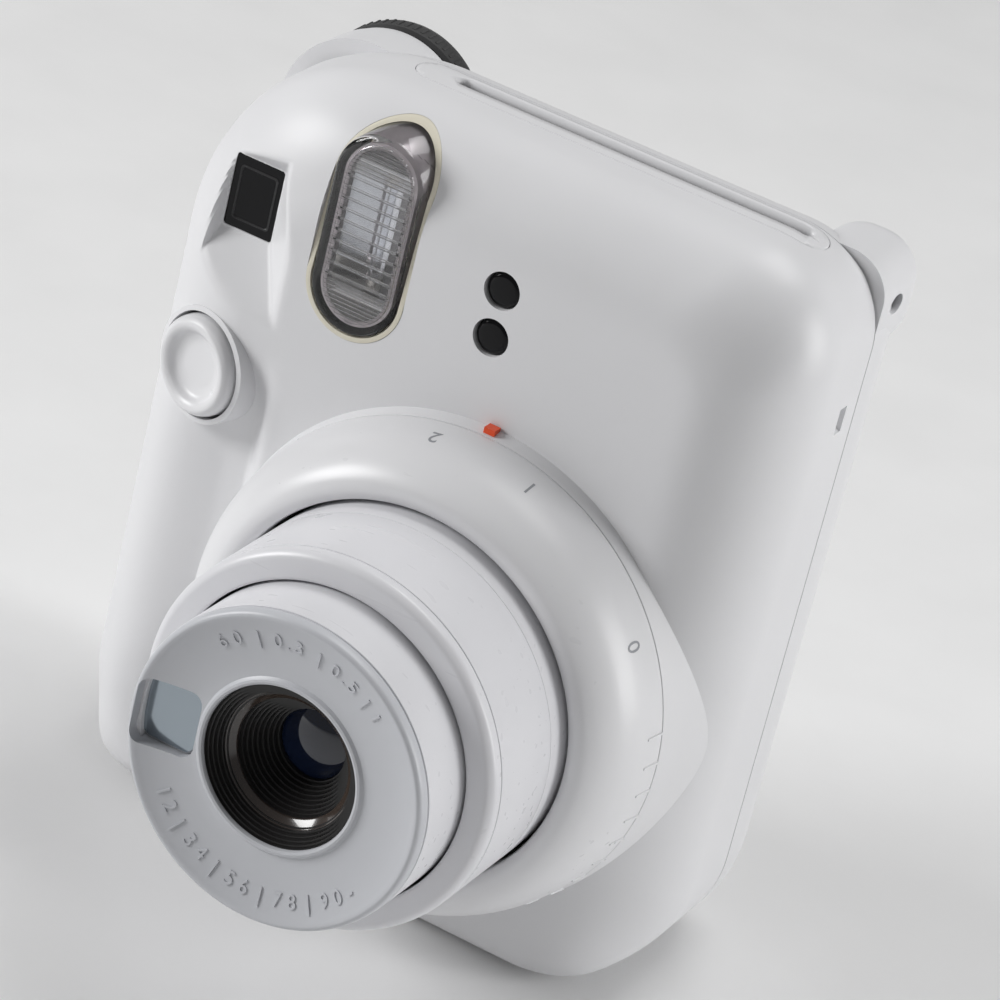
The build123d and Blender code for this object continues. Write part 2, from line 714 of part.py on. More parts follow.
def gear_spots():
    """Where the three gears sit: the idler meshes with both others."""
    d_roller = MODULE * (TEETH["roller"] + TEETH["idler"]) / 2 + MESH_SLACK
    d_pinion = MODULE * (TEETH["idler"] + TEETH["pinion"]) / 2 + MESH_SLACK
    ry, rz = FILM_Y - ROLLER_R - 0.35, ROLLER_Z
    dy, dz = MOTOR_Y - ry, MOTOR_Z - rz
    span = sqrt(dy * dy + dz * dz)
    along = (d_roller ** 2 - d_pinion ** 2 + span ** 2) / (2 * span)
    across = sqrt(d_roller ** 2 - along ** 2)
    uy, uz = dy / span, dz / span
    return {
        "roller": (ry, rz),
        "idler": (ry + along * uy - across * uz, rz + along * uz + across * uy),
        "pinion": (MOTOR_Y, MOTOR_Z),
    }


GEAR_SPOTS = gear_spots()


def gear_turns():
    """Start angles that put a tooth of one gear opposite a gap of the next."""
    turns = {"roller": 0.0}
    for name, other in (("idler", "roller"), ("pinion", "idler")):
        y, z = GEAR_SPOTS[name]
        oy, oz = GEAR_SPOTS[other]
        # Angles are counted in the gear's own drawing plane: x is +Y and y is +Z there.
        to_other = atan2(oz - z, oy - y)
        back = to_other + pi
        step, step_other = 2 * pi / TEETH[name], 2 * pi / TEETH[other]
        phase_other = ((back - turns[other]) / step_other) % 1.0
        # The tooth line of this gear runs against the other one's.
        turns[name] = to_other - (0.5 - phase_other) * step
    return turns


GEAR_TURNS = gear_turns()


def drive_roller():
    y, z = GEAR_SPOTS["roller"]
    roller = cyl_x(y, z, LENS_X - 28, LENS_X + 28, ROLLER_R)
    shaft = cyl_x(y, z, LENS_X - 31.6, GEAR_X0 + GEAR_W + 0.4, 1.2)
    return roller + shaft


def pressure_roller():
    y = FILM_Y + ROLLER_R + 0.35
    roller = cyl_x(y, ROLLER_Z, LENS_X - 28, LENS_X + 28, ROLLER_R)
    return roller + cyl_x(y, ROLLER_Z, LENS_X - 31.6, LENS_X + 31.6, 1.2)


def roller_gear():
    return placed_gear("roller", GEAR_TURNS["roller"], 1.21)


def idler_gear():
    return placed_gear("idler", GEAR_TURNS["idler"], 1.56)


def motor_pinion():
    y, z = GEAR_SPOTS["pinion"]
    shaft = cyl_x(y, z, GEAR_X0 - 2.6, GEAR_X0 + GEAR_W, 0.8)
    return placed_gear("pinion", GEAR_TURNS["pinion"], 0.8) + shaft


def roller_bracket():
    """Two side plates and a bridge that hold both rollers and the idler's post."""
    y0, y1 = FILM_Y - 8.2, FILM_Y + 8.2
    left = box(LENS_X - 31.2, LENS_X - 29.4, y0, y1, 101.2, 110.0)
    right = box(LENS_X + 29.4, LENS_X + 31.2, y0, y1, 101.2, 110.0)
    bridge = box(LENS_X - 31.2, LENS_X + 31.2, y0 - 0.6, y0 + 0.8, 101.2, 103.4)
    bracket = left + right + bridge
    for y in (GEAR_SPOTS["roller"][0], FILM_Y + ROLLER_R + 0.35):
        bracket -= cyl_x(y, ROLLER_Z, -60, 60, 1.26)
    return bracket


def idler_axle():
    y, z = GEAR_SPOTS["idler"]
    post = cyl_x(y, z, GEAR_X0 - 0.9, GEAR_X0 + GEAR_W + 0.6, 1.5)
    plate = cyl_x(y, z, GEAR_X0 - 0.9, GEAR_X0 - 0.35, 4.0)
    return post + plate


def eject_motor():
    can = cyl_x(MOTOR_Y, MOTOR_Z, 17.0, GEAR_X0 - 3.0, MOTOR_R)
    return can & box(0, 60, MOTOR_Y - 5.8, MOTOR_Y + 5.8, 70, 110)


def counter_disc():
    """The numbered disc behind the counter's window."""
    disc = cyl_y(COUNTER_X, COUNTER_Z, 39.0, 39.8, 8.0)
    return disc - cyl_y(COUNTER_X, COUNTER_Z, 36, 44, 1.06)


def counter_post():
    return cyl_y(COUNTER_X, COUNTER_Z, 36.6, 40.4, 1.0) + cyl_y(COUNTER_X, COUNTER_Z, 36.6, 38.0, 4.0)


def counter_window():
    return cyl_y(COUNTER_X, COUNTER_Z + 4.6, 43.0, 44.3, 2.5)


def case_screws():
    """Cross-head screws that hold the two covers together, one at the side and two below."""
    screws = []
    head = Cylinder(1.6, 0.8) - Pos(0, 0, 0.4) * (Box(2.2, 0.5, 0.7) + Box(0.5, 2.2, 0.7))
    screws.append(Pos(51.0, 29.0, 47.3) * Rot(0, 90, 0) * head)
    for x in SCREW_XS:
        screws.append(Pos(x, SCREW_Y, 1.7) * Rot(180, 0, 0) * head)
    return screws


def write(name, shape):
    if isinstance(shape, (list, tuple)):
        shape = Compound(children=list(shape))
    export_step(shape, "parts/" + name + ".step")


NODES = {
    "front_cover": front_cover, "rear_cover": rear_cover, "battery_cover": battery_cover,
    "feet": feet, "index_mark": index_mark, "lens_dial": lens_dial,
    "dial_sleeve": dial_sleeve, "lens_guide_tube": lens_guide_tube,
    "outer_barrel": outer_barrel, "outer_barrel_cap": outer_barrel_cap,
    "inner_barrel": inner_barrel, "front_plate": front_plate,
    "selfie_mirror": selfie_mirror, "lens_hood": lens_hood,
    "shutter_housing": shutter_housing, "shutter_blade_right": lambda: shutter_blade(1),
    "shutter_blade_left": lambda: shutter_blade(-1), "front_lens": front_lens,
    "rear_lens": rear_lens, "viewfinder_window": viewfinder_window,
    "viewfinder_tunnel": viewfinder_tunnel, "eyepiece_lens": eyepiece_lens,
    "eyecup": eyecup, "flash_window": flash_window, "flash_gasket": flash_gasket,
    "flash_reflector": flash_reflector, "flash_tube": flash_tube,
    "flash_capacitor": flash_capacitor,
    "metering_window": lambda: sensor_window(SENSOR_ZS[0]),
    "flash_sensor_window": lambda: sensor_window(SENSOR_ZS[1]),
    "film_slot_insert": film_slot_insert, "film_chamber": film_chamber,
    "film_pack": film_pack, "film_sheets": film_sheets,
    "battery_holder": battery_holder, "batteries": batteries,
    "battery_contacts": battery_contacts, "main_board": main_board,
    "shutter_switch": shutter_switch, "shutter_spring": shutter_spring,
    "shutter_button": shutter_button, "back_door": back_door,
    "film_window": film_window, "door_latch": door_latch,
    "pressure_springs": pressure_springs, "hinge_pins": hinge_pins,
    "drive_roller": drive_roller, "pressure_roller": pressure_roller,
    "roller_gear": roller_gear, "idler_gear": idler_gear, "motor_pinion": motor_pinion,
    "roller_bracket": roller_bracket, "idler_axle": idler_axle,
    "eject_motor": eject_motor, "counter_disc": counter_disc,
    "counter_post": counter_post, "counter_window": counter_window,
    "case_screws": case_screws,
}

os.makedirs("parts", exist_ok=True)
for node, make in NODES.items():
    write(node, make())
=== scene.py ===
# %% [markdown]
# # An instant film camera, modelled piece by piece
#
# The object is a small upright camera in matt off-white plastic. It takes film packs from behind, and the
# picture comes out of a slot in its top. A two-stage lens barrel comes out of the front as its dial turns.
# This file builds how the camera looks around a functional frame: the frame has the right places, sizes and
# joints, and each visible skin made here rides on one moving part of it.
# Everything is worked out in millimetres and turned into metres as a mesh is made.

# %% Load the frame and keep its size
import json
import math

import bpy
import numpy as np
from mathutils import Matrix, Vector


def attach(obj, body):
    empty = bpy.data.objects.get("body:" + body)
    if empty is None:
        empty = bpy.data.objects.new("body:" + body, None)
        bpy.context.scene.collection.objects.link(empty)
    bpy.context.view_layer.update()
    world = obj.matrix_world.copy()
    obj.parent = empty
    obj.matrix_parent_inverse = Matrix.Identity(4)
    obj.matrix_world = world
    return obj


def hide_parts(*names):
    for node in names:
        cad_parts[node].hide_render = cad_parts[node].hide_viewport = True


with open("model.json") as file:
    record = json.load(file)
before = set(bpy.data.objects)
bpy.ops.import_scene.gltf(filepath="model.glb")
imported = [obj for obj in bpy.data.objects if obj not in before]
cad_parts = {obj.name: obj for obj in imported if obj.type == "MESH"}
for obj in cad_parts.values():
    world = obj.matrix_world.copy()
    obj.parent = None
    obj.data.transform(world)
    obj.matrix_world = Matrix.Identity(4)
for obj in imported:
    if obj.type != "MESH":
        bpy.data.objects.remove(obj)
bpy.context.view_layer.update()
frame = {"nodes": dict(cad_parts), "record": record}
nodes = frame["nodes"]
MM = 0.001

# %% [markdown]
# ## Tools for making meshes
#
# Three ways of making a surface cover nearly the whole camera. Turned parts, such as the barrels, are a
# profile swept round an axis. The covers are soft moulded forms without a single flat edge, so they are a grid
# of points pulled onto a smooth mathematical form. Crisp openings are cut afterwards with exact booleans, as
# a mould's insert would leave them.


# %% Meshes from points and faces
def linked(name, data):
    """A new object of the given data, in the scene."""
    obj = bpy.data.objects.new(name, data)
    bpy.context.scene.collection.objects.link(obj)
    return obj


def add_mesh(name, points_mm, faces, sharp_deg=32.0):
    """A new smooth-shaded object at the origin; edges steeper than sharp_deg stay crisp."""
    mesh = bpy.data.meshes.new(name)
    points = np.asarray(points_mm, float) * MM
    mesh.from_pydata(points.tolist(), [], [tuple(int(i) for i in f) for f in faces])
    mesh.validate()
    obj = linked(name, mesh)
    shade(obj, sharp_deg)
    return obj


def shade(obj, sharp_deg=32.0):
    mesh = obj.data
    mesh.polygons.foreach_set("use_smooth", np.ones(len(mesh.polygons), bool))
    mesh.set_sharp_from_angle(angle=math.radians(sharp_deg))
    mesh.update()


def volume_sign(points, faces):
    """Positive when a closed mesh's faces look outward."""
    p = np.asarray(points, float)
    total = 0.0
    for f in faces:
        for i in range(1, len(f) - 1):
            total += np.dot(p[f[0]], np.cross(p[f[i]], p[f[i + 1]]))
    return total


def outward(points, faces):
    if volume_sign(points, faces) < 0:
        return [tuple(reversed(f)) for f in faces]
    return [tuple(f) for f in faces]


def joined(*parts):
    """Several (points, faces) meshes as one."""
    points, faces, base = [], [], 0
    for p, f in parts:
        p = np.asarray(p, float)
        points.append(p)
        faces += [tuple(i + base for i in face) for face in f]
        base += len(p)
    return np.vstack(points), faces


def parts_of(obj):
    """The (points in mm, faces) of an object."""
    co = np.zeros(len(obj.data.vertices) * 3)
    obj.data.vertices.foreach_get("co", co)
    return co.reshape(-1, 3) / MM, [tuple(p.vertices) for p in obj.data.polygons]


# %% Turned parts
def rounded_profile(points, radius=0.25, steps=4):
    """A closed profile with each corner eased by a small arc, as moulded edges are."""
    pts = [np.array(p[:2], float) for p in points]
    radii = [p[2] if len(p) > 2 else radius for p in points]
    out = []
    count = len(pts)
    for i, p in enumerate(pts):
        a, b = pts[i - 1], pts[(i + 1) % count]
        la, lb = np.linalg.norm(a - p), np.linalg.norm(b - p)
        on_axis = p[0] < 1e-6
        r = min(radii[i], 0.45 * la, 0.45 * lb)
        if r < 1e-3 or on_axis:
            out.append(p)
            continue
        pa, pb = p + (a - p) / la * r, p + (b - p) / lb * r
        for s in range(steps + 1):
            t = s / steps
            out.append((1 - t) ** 2 * pa + 2 * t * (1 - t) * p + t ** 2 * pb)
    return out


def curved(points, per_span=6):
    """A smooth open line through the points."""
    p = [np.array(q, float) for q in points]
    p = [2 * p[0] - p[1]] + p + [2 * p[-1] - p[-2]]
    out = []
    for i in range(1, len(p) - 2):
        for s in range(per_span):
            t = s / per_span
            a, b, c, d = p[i - 1], p[i], p[i + 1], p[i + 2]
            out.append(0.5 * (2 * b + (c - a) * t + (2 * a - 5 * b + 4 * c - d) * t ** 2
                              + (3 * b - a - 3 * c + d) * t ** 3))
    out.append(p[-2])
    return out


def turned_parts(profile, segments=256):
    """A closed profile of (radius, height) swept round the height axis."""
    points, faces, rings = [], [], []
    for r, h in profile:
        if r < 1e-6:
            rings.append([len(points)])
            points.append((0.0, 0.0, h))
            continue
        first = len(points)
        rings.append(list(range(first, first + segments)))
        for k in range(segments):
            a = 2 * math.pi * k / segments
            points.append((r * math.cos(a), r * math.sin(a), h))
    for i, ring in enumerate(rings):
        after = rings[(i + 1) % len(rings)]
        if len(ring) == 1 and len(after) == 1:
            continue
        for k in range(segments):
            n = (k + 1) % segments
            if len(ring) == 1:
                faces.append((ring[0], after[k], after[n]))
            elif len(after) == 1:
                faces.append((ring[k], after[0], ring[n]))
            else:
                faces.append((ring[k], after[k], after[n], ring[n]))
    return np.array(points), faces


def place(points, centre, axis, up=(0.0, 0.0, 1.0)):
    """Turned points, whose height ran along Z, stood on a centre with the height along an axis."""
    axis = np.array(axis, float) / np.linalg.norm(axis)
    side = np.cross(up, axis)
    if np.linalg.norm(side) < 1e-6:
        side = np.array([1.0, 0.0, 0.0])
    side = side / np.linalg.norm(side)
    third = np.cross(axis, side)
    p = np.asarray(points, float)
    return np.array(centre, float) + p[:, :1] * side + p[:, 1:2] * third + p[:, 2:3] * axis


def lathe_y(profile, x, z, segments=256):
    """A turned part about a line along Y: profile points are (radius, y)."""
    points, faces = turned_parts(profile, segments)
    points = place(points, (x, 0, z), (0, 1, 0))
    return points, outward(points, faces)


def turned(name, profile, x, z, segments=256):
    return add_mesh(name, *lathe_y(profile, x, z, segments))


print("tools ready")


# %% Cutting crisp openings
def between(first, second):
    """A closed solid from two loops of the same length: both capped, and joined by a wall."""
    n = len(first)
    points = np.array(list(first) + list(second), float)
    faces = [tuple(range(n)), tuple(range(2 * n - 1, n - 1, -1))]
    faces += [(i, n + i, n + (i + 1) % n, (i + 1) % n) for i in range(n)]
    return points, outward(points, faces)


def swept_faces(n, m):
    """Faces of m loops of n points each, the last loop joined to the first."""
    return [(i * n + k, i * n + (k + 1) % n, ((i + 1) % m) * n + (k + 1) % n, ((i + 1) % m) * n + k)
            for i in range(m) for k in range(n)]


def prism_parts(outline, y0, y1):
    """An outline of (x, z) points given depth from y0 to y1."""
    return between([(x, y0, z) for x, z in outline], [(x, y1, z) for x, z in outline])


def box_parts(x0, x1, y0, y1, z0, z1):
    return prism_parts([(x0, z0), (x1, z0), (x1, z1), (x0, z1)], y0, y1)


def rounded_outline(x, z, width, height, radius, steps=10):
    out = []
    for sx, sz, start in ((1, 1, 0), (-1, 1, 90), (-1, -1, 180), (1, -1, 270)):
        for k in range(steps + 1):
            a = math.radians(start + 90 * k / steps)
            out.append((x + sx * (width / 2 - radius) + radius * math.cos(a),
                        z + sz * (height / 2 - radius) + radius * math.sin(a)))
    return out


def round_outline(x, z, r, steps=64):
    return [(x + r * math.cos(2 * math.pi * k / steps), z + r * math.sin(2 * math.pi * k / steps))
            for k in range(steps)]


def boolean(obj, parts, operation="DIFFERENCE"):
    """Cut obj by, or keep only what lies inside, the given meshes; the result is a plain mesh."""
    points, faces = joined(*parts)
    cutter = add_mesh("cutter", points, faces)
    modifier = obj.modifiers.new("cut", "BOOLEAN")
    modifier.operation = operation
    modifier.solver = "EXACT"
    modifier.object = cutter
    depsgraph = bpy.context.evaluated_depsgraph_get()
    mesh = bpy.data.meshes.new_from_object(obj.evaluated_get(depsgraph))
    obj.modifiers.clear()
    old = obj.data
    obj.data = mesh
    bpy.data.meshes.remove(old)
    bpy.data.objects.remove(cutter)
    return obj


def absorb(obj, *others):
    """The other objects' meshes become loose shells of obj's own mesh."""
    points, faces = joined(*[parts_of(o) for o in (obj, *others)])
    name = obj.name
    for o in (obj, *others):
        bpy.data.objects.remove(o)
    return add_mesh(name, points, faces)


print("cutting ready")

# %% [markdown]
# ## The casing's form
#
# The body is a tall rounded slab. Seen from the front its corners have four different radii, the largest at
# the grip's top. Its front and back edges are rolled by different amounts: a wide roll along the grip and the
# top, a tight one at the bottom. One distance function holds all of it. Where two rolls of different radius
# meet at a corner, the radius is blended by how near each side is, so highlights run round without a kink.

# %% The distance function
WIDTH, HEIGHT, FOOT = 104.0, 122.0, 0.8
BODY_FRONT, BODY_BACK, SEAM = -1.5, 44.5, 25.5
CORNERS = {"tl": 30.0, "tr": 15.0, "br": 20.0, "bl": 16.0}
CORNER_KEEP = 0.55
ROLL_FRONT = (20.0, 15.5, 16.0, 8.0)
ROLL_BACK = (16.0, 16.0, 24.0, 8.0)
LENS_X, LENS_Z = 10.3, 46.5


def roll_radius(x, z, rolls):
    """The edge roll at a place: left, right, top and bottom values mixed by nearness."""
    reach = np.stack([x + WIDTH / 2, WIDTH / 2 - x, HEIGHT - z, z - FOOT])
    weight = 1.0 / (np.maximum(reach, 0.0) + 4.0) ** 3
    return (weight * np.array(rolls)[:, None]).sum(0) / weight.sum(0)


def drawn_in(depth, roll):
    """How far a rolled edge has drawn in where the surface is depth into the roll."""
    s = np.clip(depth, 0.0, 0.96 * roll)
    return roll - np.sqrt(roll ** 2 - s ** 2)


def casing(p):
    """Distance from the casing's outer surface, negative inside."""
    x, y, z = p[:, 0], p[:, 1], p[:, 2]
    front, back = roll_radius(x, z, ROLL_FRONT), roll_radius(x, z, ROLL_BACK)
    pull = drawn_in(BODY_FRONT + front - y, front) + drawn_in(y - BODY_BACK + back, back)
    zc = z - (HEIGHT + FOOT) / 2
    top, left = zc > 0, x < 0
    r = np.where(top, np.where(left, CORNERS["tl"], CORNERS["tr"]),
                 np.where(left, CORNERS["bl"], CORNERS["br"]))
    r = r + CORNER_KEEP * pull
    qx = np.abs(x) - WIDTH / 2 + r
    qz = np.abs(zc) - (HEIGHT - FOOT) / 2 + r
    wall = np.minimum(np.maximum(qx, qz), 0) + np.hypot(np.maximum(qx, 0), np.maximum(qz, 0)) - r
    distance = []
    for face, roll in ((BODY_FRONT - y, front), (y - BODY_BACK, back)):
        a, b = wall + roll, face + roll
        distance.append(np.hypot(np.maximum(a, 0), np.maximum(b, 0))
                        + np.minimum(np.maximum(a, b), 0) - roll)
    return np.maximum(distance[0], distance[1])


def slope(field, p, step=0.02):
    g = np.empty_like(p)
    for k in range(3):
        d = np.zeros(3)
        d[k] = step
        g[:, k] = (field(p + d) - field(p - d)) / (2 * step)
    return g


def settle(p, field, level=0.0, free=(1, 1, 1), rounds=12):
    """Pull points onto the surface field = level, moving only along the free axes."""
    free = np.array(free, float)
    p = p.copy()
    for _ in range(rounds):
        g = slope(field, p) * free
        value = field(p) - level
        p -= (value / np.maximum((g ** 2).sum(1), 0.05))[:, None] * g
    return p


probe = settle(np.array([[0.0, -9.0, 60.0], [60.0, 20.0, 60.0], [-50.0, -5.0, 120.0]]), casing)
print("the casing's surface passes through", probe.round(2).tolist())

# %% [markdown]
# ## Features pressed into the front
#
# The front has a shallow finger groove between the grip and the lens, fading out below the release button,
# and a tapered well in front of the finder window. Both are draws of one mould half, so each is a height
# above the front and can be described by how deep it goes at every x and z.


# %% The groove and the finder's well
def smooth(t, a, b):
    t = np.clip((t - a) / (b - a), 0, 1)
    return t * t * (3 - 2 * t)


def soft_max(a, b, k):
    h = np.clip(0.5 + 0.5 * (a - b) / k, 0, 1)
    return b + (a - b) * h + k * h * (1 - h)


GROOVE_DEPTH = 3.0
FINDER_FLOOR = dict(x0=-42.3, x1=-33.7, z0=93.6, z1=105.4, y=4.6)
FINDER_REACH = dict(left=2.0, right=6.0, bottom=8.6, top=5.1)
FINDER_RISE = 6.1


def groove(x, y, z):
    across = smooth(x, -45.0, -31.0) * (1 - smooth(x, -28.4, -24.6))
    along = smooth(z, 2.0, 15.0) * (1 - smooth(z, 62.0, 82.0))
    return GROOVE_DEPTH * across * along * (1 - smooth(y, 4.0, 16.0))


def well_depth(x, z):
    f, reach = FINDER_FLOOR, FINDER_REACH
    right = reach["right"] - 2.6 * smooth(z, 94.0, 108.0)
    walls = [
        (f["x0"] - x) / reach["left"], (x - f["x1"]) / right,
        (f["z0"] - z) / reach["bottom"], (z - f["z1"]) / reach["top"],
    ]
    out = walls[0]
    for w in walls[1:]:
        out = soft_max(out, w, 0.10)
    return f["y"] - FINDER_RISE * np.maximum(out, 0.0)


def press_front(p, inset):
    """Push points of the front surface back into the groove and the well."""
    p = p.copy()
    facing = (p[:, 1] < 16.0)
    p[:, 1] += np.where(facing, groove(p[:, 0], p[:, 1], p[:, 2]), 0.0)
    near = facing & (p[:, 0] > -50) & (p[:, 0] < -22) & (p[:, 2] > 80) & (p[:, 2] < 116)
    well = well_depth(p[:, 0], p[:, 2]) + 0.7 * inset
    p[:, 1] = np.where(near, soft_max(p[:, 1], well, 0.9), p[:, 1])
    return p


print("well is", FINDER_FLOOR["y"] - BODY_FRONT, "mm deep")


# %% A grid that wraps one half of the casing
def grid_faces(nx, nz):
    return [(j * nx + i, j * nx + i + 1, (j + 1) * nx + i + 1, (j + 1) * nx + i)
            for j in range(nz - 1) for i in range(nx - 1)]


def grid_border(nx, nz):
    """The grid's outer points in order round its edge."""
    loop = list(range(nx)) + [j * nx + nx - 1 for j in range(1, nz)]
    return loop + [(nz - 1) * nx + i for i in range(nx - 2, -1, -1)] + [j * nx for j in range(nz - 2, 0, -1)]


def two_skinned(name, outer, inner, faces, rim, sharp_deg):
    """An outer and an inner skin of the same faces, closed by a wall along the rim."""
    count, n = len(outer), len(rim)
    both = list(faces) + [tuple(count + i for i in reversed(f)) for f in faces]
    both += [(rim[(k + 1) % n], rim[k], count + rim[k], count + rim[(k + 1) % n]) for k in range(n)]
    points = np.vstack([outer, inner])
    return add_mesh(name, points, outward(points, both), sharp_deg)


def spaced(*stops):
    """Grid lines through (position, spacing) stops."""
    lines = [stops[0][0]]
    for (a, step), (b, _) in zip(stops, stops[1:]):
        n = max(int(round(abs(b - a) / step)), 1)
        lines += [a + (b - a) * (k + 1) / n for k in range(n)]
    return np.array(lines)


def wrapped_grid(xs, zs, ys):
    """An open box: a face of xs by zs at ys[0], and walls that follow ys to the open rim."""
    nx, nz = len(xs), len(zs)
    points = [(x, ys[0], z) for z in zs for x in xs]
    faces, loop = grid_faces(nx, nz), grid_border(nx, nz)
    edge = [points[i] for i in loop]
    for y in ys[1:]:
        ring = list(range(len(points), len(points) + len(loop)))
        points += [(x, y, z) for x, _, z in edge]
        n = len(loop)
        faces += [(loop[(k + 1) % n], loop[k], ring[k], ring[(k + 1) % n]) for k in range(n)]
        loop = ring
    return np.array(points, float), faces, loop


def evened(points, faces, fixed, level, rounds):
    """Slide the points over the surface until each sits amid its neighbours; fixed points stay."""
    pairs = np.array([(f[i], f[i - 1]) for f in faces for i in range(4)])
    pairs = np.vstack([pairs, pairs[:, ::-1]])
    count = np.bincount(pairs[:, 0], minlength=len(points))[:, None]
    free = np.ones((len(points), 1))
    free[fixed] = 0
    p = points
    for _ in range(rounds):
        total = np.stack([np.bincount(pairs[:, 0], p[pairs[:, 1], k], len(p)) for k in range(3)], 1)
        p = p + 0.8 * free * (total / count - p)
        moved = settle(p, casing, level, rounds=2)
        p = np.where(free > 0, moved, p)
    return p


def half_shell(name, xs, zs, ys, wall, even_where, press=None):
    """One moulded half: the outer skin, the inner skin a wall behind it, and the rim between."""
    start, faces, rim = wrapped_grid(xs, zs, ys)
    hold = 1 - smooth(np.abs(start[:, 1] - ys[-1]), 0.0, 12.0)
    skins = []
    for level in (0.0, -wall):
        p = settle(start if level == 0.0 else skins[0][1], casing, level)
        p[:, 1] += hold * (start[:, 1] - p[:, 1])
        p[hold > 0] = settle(p[hold > 0], casing, level, free=(1, 0, 1))
        for _ in range(60):
            p[rim] = 0.5 * p[rim] + 0.25 * (np.roll(p[rim], 1, 0) + np.roll(p[rim], -1, 0))
            p[rim] = settle(p[rim], casing, level, free=(1, 0, 1), rounds=1)
        p = evened(p, faces, ~even_where(start) | (hold == 1), level, 60 if level == 0.0 else 2)
        shaped = press(p, -level) if press else p
        skins.append((shaped, p))
    return two_skinned(name, skins[0][0], skins[1][0], faces, rim, 40)


def at_corners(p):
    """Places clear of the finder's well where the flat grid was bent round two rolls at once."""
    x, z = p[:, 0], p[:, 2]
    return ((z > 111.6) | (z < 18.0)) & (np.abs(x) > 26) | (x > 28) & ((z > 98) | (z < 26))


def everywhere(p):
    return np.ones(len(p), bool)


WALL = 1.9
XS_FRONT = spaced((-WIDTH / 2, 0.9), (-46.0, 0.36), (-27.0, 0.8), (-20.0, 1.5), (WIDTH / 2, 1.5))
ZS_FRONT = spaced((FOOT, 1.5), (66.0, 0.8), (84.0, 0.36), (112.0, 0.8), (HEIGHT, 0.8))
front_cover = half_shell("front_cover_skin", XS_FRONT, ZS_FRONT,
                         spaced((BODY_FRONT, 1.3), (SEAM - 0.12, 1.3)), WALL, at_corners, press_front)
XS_REAR = spaced((-WIDTH / 2, 1.4), (WIDTH / 2, 1.4))
ZS_REAR = spaced((FOOT, 1.4), (HEIGHT, 1.4))
rear_cover = half_shell("rear_cover_skin", XS_REAR, ZS_REAR,
                        spaced((BODY_BACK, 1.4), (SEAM + 0.12, 1.4)), WALL, everywhere)
print("front half:", len(front_cover.data.polygons), "faces; rear half:", len(rear_cover.data.polygons))

# %% [markdown]
# ## Openings in the covers
#
# The flash, the two sensor eyes, the release button, the lens and the film slot each come through a clean-edged
# opening. The rear half has the door, the eyepiece, the counter window and the hole for a wrist strap.

# %% Cut the front cover
FLASH = dict(x=-16.1, z=104.2, w=14.6, h=31.2, face=-2.0)
FLASH_OVAL = (FLASH["x"], FLASH["z"], FLASH["w"], FLASH["h"])
FINDER = (-38.0, 99.5)
SIDE_NOTCH = (52.2, 97.2, 2.6, 4.2, 1.2)
BUTTON = dict(x=-38.0, y=-0.6, z=73.6, r=7.7, tilt=17.5)
SENSORS = dict(x=6.2, zs=(105.1, 97.7), r=2.75)
SLOT = dict(x=9.1, y=21.1, w=67.8, d=7.4, hole_x=11.0, hole_y=21.5, hole_w=59.2, hole_d=3.0)
tilt = math.radians(BUTTON["tilt"])
press_axis = np.array([-math.sin(tilt), -math.cos(tilt), 0.0])
button_centre = np.array([BUTTON["x"], BUTTON["y"], BUTTON["z"]])


def stadium_outline(x, z, w, h, grow=0.0):
    w, h = w + 2 * grow, h + 2 * grow
    return rounded_outline(x, z, w, h, min(w, h) / 2 - 1e-4, 20)


def lying_stadium(x, y, w, d, z0, z1, grow=0.0):
    """A stadium in x and y with height from z0 to z1."""
    points, faces = prism_parts(stadium_outline(x, -y, w, d, grow), z0, z1)
    points = np.stack([points[:, 0], -points[:, 2], points[:, 1]], 1)
    return points, outward(points, faces)


def button_parts(profile, segments=96):
    points, faces = turned_parts(profile, segments)
    points = place(points, button_centre, press_axis)
    return points, outward(points, faces)


film_insert = add_mesh("film_insert_skin", *parts_of(front_cover))
boolean(film_insert, [lying_stadium(SLOT["x"], SLOT["y"], SLOT["w"], SLOT["d"], 100, 130)], "INTERSECT")
print("film insert:", len(film_insert.data.polygons), "faces")
boolean(film_insert, [lying_stadium(SLOT["hole_x"], SLOT["hole_y"], SLOT["hole_w"], SLOT["hole_d"], 100, 130)])

BUTTON_WELL_R = BUTTON["r"] + 0.42
front_cuts = [
    prism_parts(stadium_outline(*FLASH_OVAL, 0.85), -8, 16),
    prism_parts(round_outline(LENS_X, LENS_Z, 35.6, 160), -8, 12),
    prism_parts(rounded_outline(*FINDER, 8.3, 11.5, 0.5), 1.5, 9),
    button_parts([(0, -7.0), (BUTTON_WELL_R, -7.0), (BUTTON_WELL_R, 12), (0, 12)]),
    lying_stadium(SLOT["x"], SLOT["y"], SLOT["w"], SLOT["d"], 100, 130, 0.14),
    box_parts(-60, -44.8, 7.75, 30, 11.75, 62.25),
    prism_parts(rounded_outline(*SIDE_NOTCH), 19.6, 21.8),
]
for z in SENSORS["zs"]:
    front_cuts.append(prism_parts(round_outline(SENSORS["x"], z, SENSORS["r"] + 0.12, 48), -6, 6))
boolean(front_cover, front_cuts)
print("front cover:", len(front_cover.data.polygons), "faces after", len(front_cuts), "cuts")

# %% Cut the rear cover and take the door out of it
DOOR = dict(x0=-23.2, x1=44.3, z0=5.6, z1=101.5, r=7.0)
EYE_X, EYE_Z = -38.0, 102.6
COUNTER = (-33.5, 78.6)
SIDE_SCREW = (49.6, 47.3)
door_mid = ((DOOR["x0"] + DOOR["x1"]) / 2, (DOOR["z0"] + DOOR["z1"]) / 2)
door_size = (DOOR["x1"] - DOOR["x0"], DOOR["z1"] - DOOR["z0"])


def door_outline(grow):
    return rounded_outline(*door_mid, door_size[0] + 2 * grow, door_size[1] + 2 * grow, DOOR["r"] + grow)


